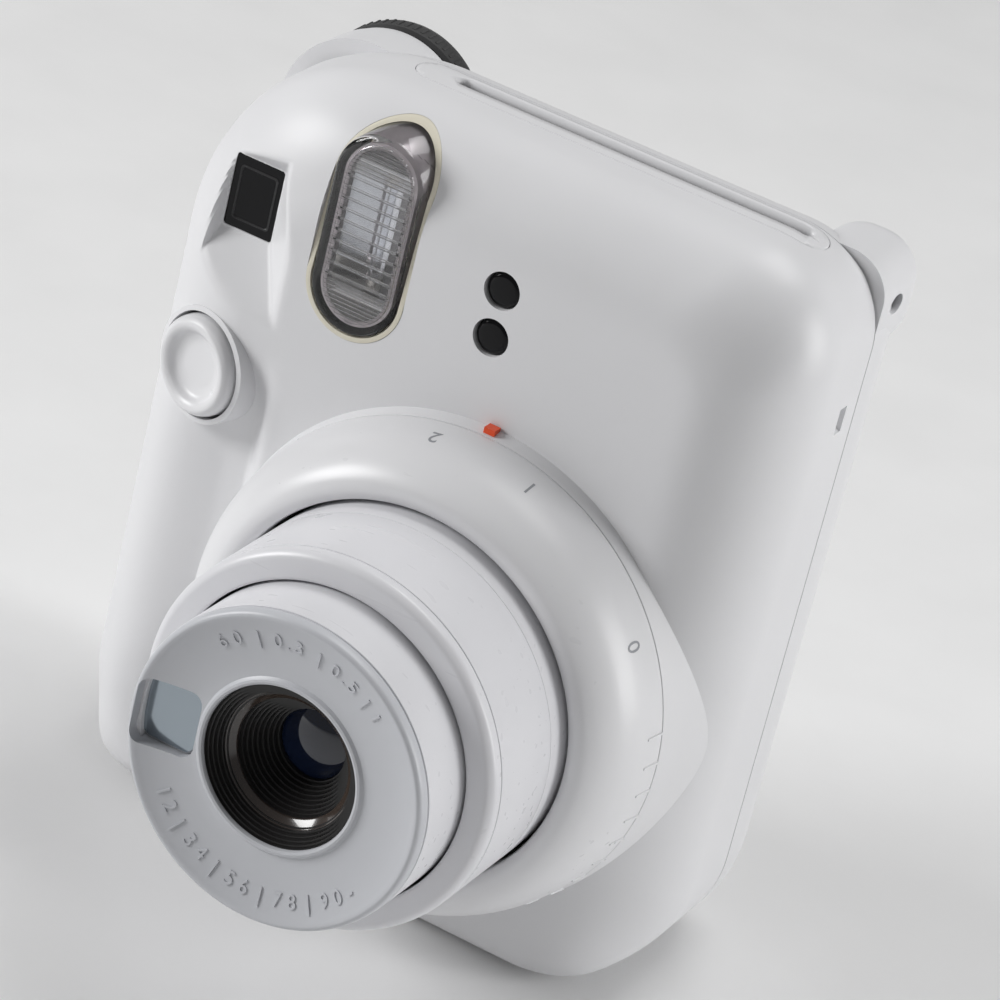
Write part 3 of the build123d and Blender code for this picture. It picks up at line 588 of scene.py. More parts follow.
door = add_mesh("back_door_skin", *parts_of(rear_cover))
boolean(door, [prism_parts(door_outline(0.0), 34, 60)], "INTERSECT")
LATCH_X = -17.8
boolean(door, [prism_parts(rounded_outline(31.0, 63.0, 6.4, 22.4, 1.0), 30, 60),
               prism_parts(rounded_outline(LATCH_X, 53.0, 6.4, 22.4, 2.0), 30, 60)])
HINGE_X, HINGE_Y = 46.3, 41.4
HINGE_SPANS = ((18.0, 28.0), (79.0, 89.0))


def upright(x, y, r, z0, z1, segments=48):
    points, faces = turned_parts([(0, z0), (r, z0), (r, z1), (0, z1)], segments)
    points = points + np.array([x, y, 0.0])
    return points, outward(points, faces)


rear_cuts = [
    prism_parts(door_outline(0.3), 34, 60),
    prism_parts(round_outline(EYE_X, EYE_Z, 10.3, 96), 26, 60),
    prism_parts(round_outline(*COUNTER, 2.6, 48), 38, 60),
    box_parts(-60, -44.8, 20, 34.75, 11.75, 62.25),
]
boolean(rear_cover, rear_cuts)
boolean(rear_cover, [upright(HINGE_X, HINGE_Y, 2.2, a - 0.35, b + 0.35) for a, b in HINGE_SPANS])
boolean(rear_cover, [prism_parts(round_outline(EYE_X, EYE_Z, 13.9, 96), 43.0, 60),
                     prism_parts(round_outline(*SIDE_SCREW, 1.0, 24), 50, 60)])
print("rear cover:", len(rear_cover.data.polygons), "faces; door:", len(door.data.polygons))

# %% [markdown]
# ## The strap lug and the eyepiece's swelling
#
# At the upper corner on the lens side of the back, the rear half swells out into a lug, and a slanted hole
# through it takes a wrist strap's loop. Behind the finder the back has a short round swelling that carries a
# soft eyecup. Both stay visibly separate volumes on the real cover, meeting it in a crease.

# %% Lug and swelling
def pillow(x, z, width, height, radius, y0, y1, roll, step=0.8):
    """A rounded block whose back edge is rolled: closed, made by the same pull onto a form."""
    def form(p):
        qx = np.abs(p[:, 0] - x) - width / 2 + radius
        qz = np.abs(p[:, 2] - z) - height / 2 + radius
        wall = (np.minimum(np.maximum(qx, qz), 0)
                + np.hypot(np.maximum(qx, 0), np.maximum(qz, 0)) - radius)
        a, b = wall + roll, p[:, 1] - y1 + roll
        return np.hypot(np.maximum(a, 0), np.maximum(b, 0)) + np.minimum(np.maximum(a, b), 0) - roll

    xs = spaced((x - width / 2, step), (x + width / 2, step))
    zs = spaced((z - height / 2, step), (z + height / 2, step))
    start, faces, rim = wrapped_grid(xs, zs, spaced((y1, step), (y0, step)))
    points = settle(start, form)
    points[rim, 1] = y0
    points[rim] = settle(points[rim], form, free=(1, 0, 1))
    faces = [tuple(f) for f in faces] + [tuple(rim)]
    return points, outward(points, faces)


LUG = dict(x=44.4, z=111.6, w=14.8, h=17.2)
STRAP_HOLE = dict(centre=(47.6, 34.6, 112.6), r=1.55, reach=20, slant_deg=48)
lug = add_mesh("lug", *pillow(*LUG.values(), 6.6, SEAM + 0.2, 40.5, 5.0))
hole_r, reach = STRAP_HOLE["r"], STRAP_HOLE["reach"]
strap_points, strap_faces = turned_parts([(0, -reach), (hole_r, -reach), (hole_r, reach), (0, reach)], 48)
slant = math.radians(STRAP_HOLE["slant_deg"])
strap_points = place(strap_points, STRAP_HOLE["centre"], (math.sin(slant), -math.cos(slant), 0.0))
boolean(lug, [(strap_points, outward(strap_points, strap_faces))])
hump = add_mesh("hump", *lathe_y(rounded_profile([
    (10.3, 33.0, 0), (13.9, 33.0, 0), (13.75, 40.0, 0), (13.2, 43.0, 0.8), (10.3, 43.0, 0.2)]),
    EYE_X, EYE_Z, 128))
boolean(hump, [prism_parts(door_outline(0.3), 20, 60)])
ears = []
for a, b in HINGE_SPANS:
    for z0, z1 in ((a - 4.0, a - 0.35), (b + 0.35, b + 4.0)):
        ears.append(add_mesh("ear", *upright(HINGE_X, HINGE_Y, 2.0, z0, z1)))
rear_cover = absorb(rear_cover, lug, hump, *ears)
knuckles = []
for a, b in HINGE_SPANS:
    knuckles.append(add_mesh("knuckle", *upright(HINGE_X, HINGE_Y, 2.0, a, b)))
    web = box_parts(DOOR["x1"] - 1.2, HINGE_X, HINGE_Y - 0.2, HINGE_Y + 1.6, a, b)
    knuckles.append(add_mesh("web", *web))
door = absorb(door, *knuckles)
print("lug reaches x =", LUG["x"] + LUG["w"] / 2, "and z =", LUG["z"] + LUG["h"] / 2)

# %% [markdown]
# ## The battery cover
#
# Two cells lie upright in the grip. Their cover is a slice of the same rolled skin on the grip's outer side, so
# its surface runs on from the casing and only a hairline shows where it parts. Its rim is eased a little.

# %% Battery cover
def side_patch(name, y0, y1, z0, z1, wall, gap_roll=0.22):
    """A slice of the casing's left side, closed, with its border rolled inward."""
    def lines(a, b):
        return np.concatenate([[a, a + 0.07], spaced((a + gap_roll, 1.2), (b - gap_roll, 1.2)), [b - 0.07, b]])

    ys, zs = lines(y0, y1), lines(z0, z1)
    grid = np.array([(-WIDTH / 2, y, z) for z in zs for y in ys])
    outer = settle(grid, casing, 0.0, free=(1, 0, 0))
    inner = settle(grid, casing, -wall, free=(1, 0, 0))
    border = np.minimum.reduce([grid[:, 1] - y0, y1 - grid[:, 1], grid[:, 2] - z0, z1 - grid[:, 2]])
    inside = np.clip(gap_roll - border, 0, gap_roll)
    outer[:, 0] += gap_roll - np.sqrt(gap_roll ** 2 - inside ** 2)
    size = len(ys), len(zs)
    return two_skinned(name, outer, inner, grid_faces(*size), grid_border(*size), 50)


battery_cover = side_patch("battery_cover_skin", 8.0, 34.5, 12.0, 62.0, 1.6)
print("battery cover:", len(battery_cover.data.polygons), "faces")

# %% [markdown]
# ## The boss and the dial
#
# The lens stands on a round boss. A wide crowned dial turns on it and drives the barrels in and out. Only a
# hairline parts the two, and the dial's side wall flares into the boss, so they read as one cone. Along the
# dial's rear edge is a row of short raised grip ribs, too many to place by hand: a node tree repeats one
# rib round the axis at an even pitch, which also keeps the pitch a named number.

# %% Boss and dial
BOSS_FACE = -3.8
boss_profile = rounded_profile([
    (31.7, BOSS_FACE + 0.1, 0.1), (37.86, BOSS_FACE, 0.12), (38.5, -0.6, 2.0), (40.5, 8.5, 0),
    (38.2, 8.5, 0), (36.4, -1.6, 0), (33.7, -1.6, 0), (33.7, 10.9, 0.2), (31.7, 10.9, 0.2)], 0.1, 6)
boss = turned("boss", boss_profile, LENS_X, LENS_Z)
boolean(boss, [box_parts(-80, 28, 0.3, 7.4, 0, 12.0), box_parts(51.0, 70, -20, 30, 0, 140)])
front_cover = absorb(front_cover, boss)

crown = curved([(29.05, -15.8), (29.35, -16.4), (30.6, -16.9), (32.2, -16.6), (34.0, -15.2),
                (35.6, -12.9), (36.7, -10.2), (37.3, -7.6), (37.8, -4.0)], 7)
dial_profile = [tuple(p) for p in crown] + [(37.76, -3.9), (32.4, -3.9), (32.4, -12.0), (29.05, -12.6)]
dial_parts = lathe_y(dial_profile, LENS_X, LENS_Z, 288)
print("dial:", len(dial_parts[1]), "faces")


# %% Node trees that repeat one piece
def repeat_tree(name, inputs, wiring):
    """A tree that puts a piece on the points of a line; wiring adds what differs, and gives the geometry."""
    tree = bpy.data.node_groups.new(name, "GeometryNodeTree")
    first = [("Geometry", "Geometry"), ("Piece", "Object"), ("Count", "Int")]
    for label, kind in [*first, *inputs, ("Material", "Material")]:
        tree.interface.new_socket(label, in_out="INPUT", socket_type="NodeSocket" + kind)
    tree.interface.new_socket("Geometry", in_out="OUTPUT", socket_type="NodeSocketGeometry")
    new, link = tree.nodes.new, tree.links.new
    given, out = new("NodeGroupInput"), new("NodeGroupOutput")
    line, info = new("GeometryNodeMeshLine"), new("GeometryNodeObjectInfo")
    inst, real = new("GeometryNodeInstanceOnPoints"), new("GeometryNodeRealizeInstances")
    paint = new("GeometryNodeSetMaterial")
    link(given.outputs["Count"], line.inputs["Count"])
    link(given.outputs["Piece"], info.inputs["Object"])
    link(line.outputs["Mesh"], inst.inputs["Points"])
    link(info.outputs["Geometry"], inst.inputs["Instance"])
    link(wiring(new, link, given, line, inst), real.inputs["Geometry"])
    link(real.outputs["Geometry"], paint.inputs["Geometry"])
    link(given.outputs["Material"], paint.inputs["Material"])
    link(paint.outputs["Geometry"], out.inputs["Geometry"])
    return tree


def round_axis(new, link, given, line, inst):
    """All points at one place, each instance turned by Start + index x Pitch, then moved to Centre."""
    index, scale, add = new("GeometryNodeInputIndex"), new("ShaderNodeMath"), new("ShaderNodeMath")
    turn, move = new("ShaderNodeCombineXYZ"), new("GeometryNodeTransform")
    scale.operation, add.operation = "MULTIPLY", "ADD"
    line.inputs["Offset"].default_value = (0, 0, 0)
    link(index.outputs[0], scale.inputs[0])
    link(given.outputs["Pitch"], scale.inputs[1])
    link(scale.outputs[0], add.inputs[0])
    link(given.outputs["Start"], add.inputs[1])
    link(add.outputs[0], turn.inputs["Y"])
    link(turn.outputs["Vector"], inst.inputs["Rotation"])
    link(inst.outputs["Instances"], move.inputs["Geometry"])
    link(given.outputs["Centre"], move.inputs["Translation"])
    return move.outputs["Geometry"]


def along_line(new, link, given, line, inst):
    link(given.outputs["First"], line.inputs["Start Location"])
    link(given.outputs["Step"], line.inputs["Offset"])
    return inst.outputs["Instances"]


RING = repeat_tree("ring_of_pieces", [("Start", "Float"), ("Pitch", "Float"), ("Centre", "Vector")], round_axis)
ROW = repeat_tree("row_of_pieces", [("First", "Vector"), ("Step", "Vector")], along_line)


def repeat(name, tree, piece_parts, **values):
    """Run a repeat tree over one piece and keep the result as a plain mesh."""
    piece = add_mesh(name + "_piece", *piece_parts, 30)
    holder = linked(name, bpy.data.meshes.new(name))
    modifier = holder.modifiers.new("repeat", "NODES")
    modifier.node_group = tree
    values["Piece"] = piece
    for item in tree.interface.items_tree:
        if item.item_type == "SOCKET" and item.in_out == "INPUT" and item.name in values:
            modifier[item.identifier] = values[item.name]
    depsgraph = bpy.context.evaluated_depsgraph_get()
    mesh = bpy.data.meshes.new_from_object(holder.evaluated_get(depsgraph))
    holder.modifiers.clear()
    holder.data = mesh
    bpy.data.objects.remove(piece)
    shade(holder, 30)
    return holder


print("node trees:", RING.name, ROW.name)

# %% [markdown]
# ## Finishes
#
# Nearly everything outside is one matt off-white plastic with a fine spark-eroded grain: it scatters light
# softly and shows a broad dim highlight. Handling leaves faint cleaner and duller patches and very fine
# hairlines. That grain and that wear are two shader groups that every moulded finish shares, so one change
# to either reaches all of them. The groups give only values and normals; each material keeps its own shader.

# %% Shader groups
def shader_group(name, inputs, outputs):
    tree = bpy.data.node_groups.new(name, "ShaderNodeTree")
    for label, kind, value in inputs:
        socket = tree.interface.new_socket(label, in_out="INPUT", socket_type=kind)
        socket.default_value = value
    for label, kind in outputs:
        tree.interface.new_socket(label, in_out="OUTPUT", socket_type=kind)
    return tree, tree.nodes.new("NodeGroupInput"), tree.nodes.new("NodeGroupOutput")


def noise(tree, vector, scale, detail=2.0, rough=0.5):
    node = tree.nodes.new("ShaderNodeTexNoise")
    node.inputs["Detail"].default_value = detail
    node.inputs["Roughness"].default_value = rough
    if hasattr(scale, "links"):
        tree.links.new(scale, node.inputs["Scale"])
    else:
        node.inputs["Scale"].default_value = scale
    tree.links.new(vector, node.inputs["Vector"])
    return node.outputs["Fac"]


def math_node(tree, operation, a, b=None, clamp=False):
    node = tree.nodes.new("ShaderNodeMath")
    node.operation = operation
    node.use_clamp = clamp
    for socket, value in zip(node.inputs, (a, b)):
        if value is None:
            continue
        if hasattr(value, "links"):
            tree.links.new(value, socket)
        else:
            socket.default_value = value
    return node.outputs[0]


def spread(tree, value, low, high, to_low=0.0, to_high=1.0):
    node = tree.nodes.new("ShaderNodeMapRange")
    tree.links.new(value, node.inputs["Value"])
    for label, v in (("From Min", low), ("From Max", high), ("To Min", to_low), ("To Max", to_high)):
        node.inputs[label].default_value = v
    return node.outputs["Result"]


def grain_group():
    """A moulded grain: a fine pebble with a softer unevenness under it, as a normal."""
    tree, given, out = shader_group(
        "moulded_grain",
        [("Scale", "NodeSocketFloat", 4200.0), ("Strength", "NodeSocketFloat", 0.1)],
        [("Normal", "NodeSocketVector"), ("Grain", "NodeSocketFloat")])
    place_node = tree.nodes.new("ShaderNodeTexCoord")
    coords = place_node.outputs["Object"]
    fine = noise(tree, coords, given.outputs["Scale"], 3.0, 0.6)
    broad = noise(tree, coords, math_node(tree, "MULTIPLY", given.outputs["Scale"], 0.21), 1.0)
    both = math_node(tree, "ADD", math_node(tree, "MULTIPLY", fine, 0.75),
                     math_node(tree, "MULTIPLY", broad, 0.25))
    bump = tree.nodes.new("ShaderNodeBump")
    bump.inputs["Distance"].default_value = 0.00006
    tree.links.new(given.outputs["Strength"], bump.inputs["Strength"])
    tree.links.new(both, bump.inputs["Height"])
    tree.links.new(bump.outputs["Normal"], out.inputs["Normal"])
    tree.links.new(both, out.inputs["Grain"])
    return tree


def wear_group():
    """Handling: broad patches, specks, and fine hairlines running at two slants, each from 0 to 1."""
    tree, given, out = shader_group(
        "handling_wear",
        [("Size", "NodeSocketFloat", 1.0)],
        [("Patches", "NodeSocketFloat"), ("Hairlines", "NodeSocketFloat"), ("Specks", "NodeSocketFloat")])
    place_node = tree.nodes.new("ShaderNodeTexCoord")
    coords = place_node.outputs["Object"]
    broad = math_node(tree, "MULTIPLY", given.outputs["Size"], 38.0)
    patches = spread(tree, noise(tree, coords, broad, 3.0, 0.55), 0.3, 0.7)
    lines = []
    for turn in ((0.4, 0.9, 0.2), (1.1, 0.3, 1.9)):
        mapping = tree.nodes.new("ShaderNodeMapping")
        mapping.inputs["Rotation"].default_value = turn
        mapping.inputs["Scale"].default_value = (30.0, 900.0, 900.0)
        tree.links.new(coords, mapping.inputs["Vector"])
        streaks = noise(tree, mapping.outputs["Vector"], given.outputs["Size"], 0.0)
        lines.append(spread(tree, streaks, 0.74, 0.80))
    hairlines = math_node(tree, "MAXIMUM", lines[0], lines[1])
    fine = math_node(tree, "MULTIPLY", given.outputs["Size"], 700.0)
    specks = spread(tree, noise(tree, coords, fine, 0.0), 0.76, 0.82)
    tree.links.new(patches, out.inputs["Patches"])
    tree.links.new(hairlines, out.inputs["Hairlines"])
    tree.links.new(specks, out.inputs["Specks"])
    return tree


GRAIN, WEAR = grain_group(), wear_group()


def group_node(tree, group, **values):
    node = tree.nodes.new("ShaderNodeGroup")
    node.node_tree = group
    for label, value in values.items():
        node.inputs[label].default_value = value
    return node


def moulded(name, colour, roughness, grain=0.1, scale=4200.0, tone=0.035, sheen=0.0, specular=0.5,
            metallic=0.0, transmission=0.0, ior=1.5, coat=0.0):
    """A material from the two groups: colour by patches, roughness by patches and hairlines, grain as bump."""
    mat = bpy.data.materials.new(name)
    mat.use_nodes = True
    tree = mat.node_tree
    shader = tree.nodes["Principled BSDF"]
    g = group_node(tree, GRAIN, Scale=scale, Strength=grain)
    w = group_node(tree, WEAR, Size=1.0)
    mix = tree.nodes.new("ShaderNodeMix")
    mix.data_type = "RGBA"
    dark = tuple(c * (1 - tone) for c in colour)
    mix.inputs[6].default_value = (*dark, 1)
    mix.inputs[7].default_value = (*colour, 1)
    amount = math_node(tree, "MULTIPLY", w.outputs["Patches"], 0.7)
    amount = math_node(tree, "ADD", amount, math_node(tree, "MULTIPLY", g.outputs["Grain"], 0.3), True)
    amount = math_node(tree, "SUBTRACT", amount, math_node(tree, "MULTIPLY", w.outputs["Specks"], 0.12), True)
    tree.links.new(amount, mix.inputs[0])
    tree.links.new(mix.outputs[2], shader.inputs["Base Color"])
    rough = spread(tree, w.outputs["Patches"], 0.0, 1.0, roughness * 0.92, roughness * 1.07)
    scratch = math_node(tree, "MULTIPLY", w.outputs["Hairlines"], roughness * 0.18)
    rough = math_node(tree, "SUBTRACT", rough, scratch, True)
    tree.links.new(rough, shader.inputs["Roughness"])
    tree.links.new(g.outputs["Normal"], shader.inputs["Normal"])
    shader.inputs["Metallic"].default_value = metallic
    shader.inputs["IOR"].default_value = ior
    shader.inputs["Specular IOR Level"].default_value = specular
    shader.inputs["Transmission Weight"].default_value = transmission
    shader.inputs["Coat Weight"].default_value = coat
    shader.inputs["Sheen Weight"].default_value = sheen
    return mat


WHITE = (0.77, 0.77, 0.785)
finish = {
    "shell": moulded("shell_white_plastic", WHITE, 0.40, 0.10),
    "trim": moulded("trim_white_plastic", (0.78, 0.78, 0.795), 0.34, 0.06, 5200.0),
    "barrel": moulded("barrel_white_plastic", (0.74, 0.74, 0.765), 0.33, 0.05, 5200.0),
    # The plate's finish is the shell's white plastic painted darker grey: painted shade for the front-facing
    # plate, which gets less of the key light.
    "plate": moulded("plate_grey_white_plastic", (0.56, 0.57, 0.60), 0.38, 0.10, 4600.0),
    "print": moulded("pale_grey_ink", (0.30, 0.31, 0.33), 0.45, 0.03),
    "mark": moulded("orange_mark", (0.86, 0.09, 0.02), 0.38, 0.04),
    "black": moulded("black_moulding", (0.012, 0.012, 0.013), 0.42, 0.10, 3600.0, tone=0.3),
    "hood": moulded("lens_hood_black", (0.016, 0.015, 0.015), 0.38, 0.08, 5200.0, tone=0.3),
    "gloss_black": moulded("gloss_black_window", (0.004, 0.004, 0.005), 0.07, 0.004, tone=0.3, specular=0.22),
    "rubber": moulded("black_rubber", (0.014, 0.014, 0.015), 0.62, 0.22, 3000.0, tone=0.4, sheen=0.15),
    "foot": moulded("grey_rubber_foot", (0.30, 0.30, 0.30), 0.7, 0.2, 3000.0),
    "gasket": moulded("cream_gasket", (0.74, 0.70, 0.58), 0.5, 0.06),
    "nickel": moulded("nickel_plate", (0.62, 0.60, 0.56), 0.24, 0.03, metallic=1.0, tone=0.12),
    "steel": moulded("bright_steel", (0.50, 0.50, 0.51), 0.28, 0.03, metallic=1.0, tone=0.15),
    "gear": moulded("acetal_gear", (0.62, 0.60, 0.54), 0.40, 0.05),
    "film": moulded("dark_film_pack", (0.030, 0.030, 0.033), 0.46, 0.10, tone=0.3),
    "cell": moulded("battery_wrap", (0.10, 0.16, 0.22), 0.30, 0.03, tone=0.2),
    "board": moulded("green_board", (0.02, 0.12, 0.06), 0.35, 0.05, tone=0.3),
    "reflector": moulded("chromed_reflector", (0.86, 0.87, 0.88), 0.16, 0.02, metallic=1.0, tone=0.06),
    "liner": moulded("flash_liner_satin", (0.50, 0.46, 0.48), 0.30, 0.05, metallic=0.35),
    "glass": moulded("coated_glass", (0.92, 0.94, 0.98), 0.02, 0.0, tone=0.01, transmission=1.0),
    "flash_glass": moulded("clear_flash_cover", (0.97, 0.965, 0.97), 0.03, 0.006, tone=0.02,
                           transmission=1.0, ior=1.46),
}
print(len(finish), "finishes from", GRAIN.name, "and", WEAR.name)


def paint(obj, key):
    obj.data.materials.clear()
    obj.data.materials.append(finish[key])
    return obj


# %% [markdown]
# The small rounded-square mirror beside the lens and the front element both need more than a plain finish.
# The mirror has a thin cool coating on glass. The element shows a deep blue-violet from its anti-reflection
# layer, which changes with angle, so its tint comes from a facing mask in its own material.

# %% Coated finishes
def facing(tree, blend):
    node = tree.nodes.new("ShaderNodeLayerWeight")
    node.inputs["Blend"].default_value = blend
    return node.outputs["Facing"]


def coated(name, centre_colour, edge_colour, roughness, metallic, blend=0.35):
    mat = moulded(name, centre_colour, roughness, 0.01, metallic=metallic, tone=0.08, coat=0.6)
    tree = mat.node_tree
    shader = tree.nodes["Principled BSDF"]
    mix = tree.nodes.new("ShaderNodeMix")
    mix.data_type = "RGBA"
    mix.inputs[6].default_value = (*centre_colour, 1)
    mix.inputs[7].default_value = (*edge_colour, 1)
    wear = group_node(tree, WEAR, Size=2.0)
    tree.links.new(math_node(tree, "ADD", facing(tree, blend),
                             math_node(tree, "MULTIPLY", wear.outputs["Patches"], 0.06), True), mix.inputs[0])
    tree.links.new(mix.outputs[2], shader.inputs["Base Color"])
    return mat


finish["mirror"] = coated("coated_mirror", (0.27, 0.32, 0.36), (0.50, 0.54, 0.58), 0.14, 0.9)
finish["element"] = coated("coated_front_element", (0.004, 0.006, 0.016), (0.02, 0.035, 0.09), 0.05, 0.0)
finish["brown_ring"] = coated("glossy_baffle_ring", (0.020, 0.014, 0.012), (0.10, 0.075, 0.06), 0.16, 0.0)
print("coated:", finish["mirror"].name, finish["element"].name)

# %% Dial with its ribs
def rib_parts(r0, r1_front, r1_back, y0, y1, width, crest):
    """A fin along Y at the top of a circle: wide foot, narrow crest, sloping down to the front."""
    points = [(-width / 2, y0, r0), (width / 2, y0, r0), (width / 2, y1, r0), (-width / 2, y1, r0),
              (-crest / 2, y0 + 0.25, r1_front), (crest / 2, y0 + 0.25, r1_front),
              (crest / 2, y1, r1_back), (-crest / 2, y1, r1_back)]
    faces = [(3, 2, 1, 0), (4, 5, 6, 7), (0, 1, 5, 4), (1, 2, 6, 5), (2, 3, 7, 6), (3, 0, 4, 7)]
    return np.array(points), outward(points, faces)


RIB_PITCH_DEG, RIB_START_DEG, RIB_COUNT = 7.15, 80.3, 29
ribs = repeat("dial_ribs", RING, rib_parts(36.8, 37.52, 38.08, -7.6, -4.06, 0.62, 0.34),
              Count=RIB_COUNT, Start=math.radians(RIB_START_DEG), Pitch=math.radians(RIB_PITCH_DEG),
              Centre=(LENS_X * MM, 0.0, LENS_Z * MM), Material=finish["trim"])
dial = absorb(add_mesh("lens_dial_skin", *dial_parts), ribs)
print("ribs:", RIB_COUNT, "at", RIB_PITCH_DEG, "degrees")

# %% [markdown]
# ## Numerals
#
# The dial carries small pale printed numerals that name its positions, and the lens face carries raised
# numerals and ticks in its own colour. Words and names are left out. A glyph is made flat and then bent onto
# its surface: along an arc and out from it by the surface's own profile, so that it follows the curve.

# %% Glyphs bent onto turned surfaces
def glyph_parts(text, height_mm, thickness_mm):
    """A flat text as a closed mesh, centred on X, standing on Z = 0 in its own plane, in mm."""
    curve = bpy.data.curves.new("glyph", "FONT")
    curve.body = text
    curve.size = 1.0
    curve.extrude = 0.5
    curve.align_x = "CENTER"
    curve.resolution_u = 5
    curve.space_character = 1.12
    obj = linked("glyph", curve)
    depsgraph = bpy.context.evaluated_depsgraph_get()
    mesh = bpy.data.meshes.new_from_object(obj.evaluated_get(depsgraph))
    co = np.zeros(len(mesh.vertices) * 3)
    mesh.vertices.foreach_get("co", co)
    co = co.reshape(-1, 3)
    faces = [tuple(p.vertices) for p in mesh.polygons]
    bpy.data.objects.remove(obj)
    bpy.data.curves.remove(curve)
    cap_height = 0.70
    co[:, :2] *= height_mm / cap_height
    co[:, 2] *= thickness_mm
    return co, faces


def profile_lookup(profile, key, value):
    """The profile's other coordinate where coordinate key has this value."""
    order = np.argsort([p[key] for p in profile])
    return np.interp(value, [profile[i][key] for i in order], [profile[i][1 - key] for i in order])


def on_side(parts, angle_deg, y_base, up, profile):
    """Glyph on a turned side wall at an angle clockwise from the top; up = -1 puts its head to the front."""
    p, faces = parts
    y = y_base + up * p[:, 1]
    r = profile_lookup(profile, 1, y) + p[:, 2] + 0.02
    angle = math.radians(angle_deg) + up * p[:, 0] / 37.5
    out = np.stack([LENS_X + r * np.sin(angle), y, LENS_Z + r * np.cos(angle)], 1)
    return out, outward(out, faces)


def on_face(parts, angle_deg, r_base, up, profile):
    """Glyph on a turned front face; up = 1 puts its head outward, -1 inward."""
    p, faces = parts
    r = r_base + up * p[:, 1]
    y = profile_lookup(profile, 0, r) - p[:, 2]
    angle = math.radians(angle_deg) + up * p[:, 0] / (r_base + up * 1.0)
    out = np.stack([LENS_X + r * np.sin(angle), y, LENS_Z + r * np.cos(angle)], 1)
    return out, outward(out, faces)


PRINT_HEIGHT = 2.5
shoulder = [tuple(p) for p in crown]
settings = (("2", -9.0), ("1", 16.0), ("0", 58.0))
printed = [on_side(glyph_parts(text, PRINT_HEIGHT, 0.05), angle, -7.2, -1, shoulder)
           for text, angle in settings]
dial_print = add_mesh("dial_numerals", *joined(*printed))
print("numerals on the dial:", [s[0] for s in settings])

# %% [markdown]
# ## The lens
#
# Two barrels slide one inside the other. Each has a front trim ring pressed on, which shows as a fine seam
# just behind its front edge, and each runs in the next with a thin dark gap. The front plate is a shallow
# dish with a bright turned edge, a rolled lip round the lens hole, and a square recess with a small mirror
# in it. Inside the hole a stepped black hood narrows to a small dark element.

# %% Barrels
def seam_groove(r, y, depth=0.16, width=0.22):
    return [(r, y - width / 2, 0.04), (r - depth, y - width / 2, 0), (r - depth, y + width / 2, 0),
            (r, y + width / 2, 0.04)]


OUTER_R, OUTER_FACE, OUTER_HOLE = 28.5, -37.0, 24.22
INNER_R, FRONT_FACE = 23.8, -48.5
outer_profile = rounded_profile(
    [(27.3, OUTER_FACE + 2.7, 0.1), (OUTER_R, OUTER_FACE + 2.7, 0.12)] + seam_groove(OUTER_R, -20.2, 0.05)
    + [(OUTER_R, -8.6, 0.1), (25.2, -8.6, 0), (25.2, -10.4, 0), (27.3, -10.4, 0)], 0.1, 4)
outer_barrel = turned("outer_barrel_skin", outer_profile, LENS_X, LENS_Z)
cap_profile = rounded_profile([
    (OUTER_HOLE, OUTER_FACE + 0.1, 0.1), (OUTER_HOLE + 0.35, OUTER_FACE - 0.02, 0.15),
    (OUTER_R - 0.9, OUTER_FACE, 0.9), (OUTER_R - 0.02, OUTER_FACE + 0.9, 0.9),
    (OUTER_R - 0.02, OUTER_FACE + 2.5, 0.1), (OUTER_R - 0.25, OUTER_FACE + 2.62, 0),
    (27.35, OUTER_FACE + 2.62, 0), (OUTER_HOLE, OUTER_FACE + 2.62, 0.1)], 0.1, 5)
outer_cap = turned("outer_barrel_cap_skin", cap_profile, LENS_X, LENS_Z)
inner_profile = rounded_profile(
    [(22.6, FRONT_FACE + 2.14, 0.1), (INNER_R, FRONT_FACE + 2.14, 0.14), (INNER_R, -20.4, 0.1), (9.0, -20.4, 0),
     (9.0, -21.8, 0), (22.6, -21.8, 0)], 0.1, 4)
inner_barrel = turned("inner_barrel_skin", inner_profile, LENS_X, LENS_Z)
print("barrels:", OUTER_R * 2, "and", INNER_R * 2, "mm across")

# %% Front plate, its mirror recess and its raised numerals
dish = curved([(13.5, -46.42), (14.6, -46.45), (16.0, -46.6), (18.0, -46.95), (20.0, -47.45), (21.6, -48.0),
               (22.5, -48.38)], 5)
rim = curved([(22.5, -48.38), (22.95, -48.5), (23.3, -48.38), (23.58, -48.05), (23.72, -47.4),
              (23.74, -46.7)], 4)
lip = [(12.3, -43.9), (12.28, -46.5), (12.42, -46.8), (12.75, -46.93), (13.1, -46.84), (13.3, -46.6)]
plate_profile = lip + [tuple(p) for p in dish] + [tuple(p) for p in rim[1:]] + [
    (23.5, FRONT_FACE + 2.02), (22.4, FRONT_FACE + 2.02), (22.4, -43.9)]
plate = turned("front_plate_skin", plate_profile, LENS_X, LENS_Z)
MIRROR_X, MIRROR_Z = LENS_X - 18.2, LENS_Z - 0.3
boolean(plate, [prism_parts(rounded_outline(MIRROR_X, MIRROR_Z, 9.4, 10.6, 2.0), -52, -44.6)])
face_profile = [tuple(p) for p in dish]
TOP_TEXT = (("6", -39), ("0", -31.5), ("|", -21), ("0", -12), (".", -7), ("3", -2), ("|", 8), ("0", 16),
            (".", 21), ("5", 26), ("|", 34), ("1", 41))
LOW_TEXT = (("1", 235), ("2", 228), ("|", 220), ("3", 212), ("4", 205), ("|", 197), ("5", 189), ("6", 182),
            ("|", 174), ("7", 166), ("8", 159), ("|", 151), ("9", 143), ("0", 136), ("-", 129))
TEXT_HEIGHT, TEXT_RAISED = 2.1, 0.2
raised = [on_face(glyph_parts(sign, TEXT_HEIGHT, TEXT_RAISED * 2), angle, base_r, up, face_profile)
          for line, base_r, up in ((TOP_TEXT, 18.5, 1), (LOW_TEXT, 20.6, -1)) for sign, angle in line]
plate = absorb(plate, add_mesh("raised_numerals", *joined(*raised)))
mirror = add_mesh("mirror_skin", *prism_parts(rounded_outline(MIRROR_X, MIRROR_Z, 8.6, 9.8, 1.6), -45.5, -44.7))
frame_outline = rounded_outline(MIRROR_X, MIRROR_Z, 9.2, 10.4, 1.9)
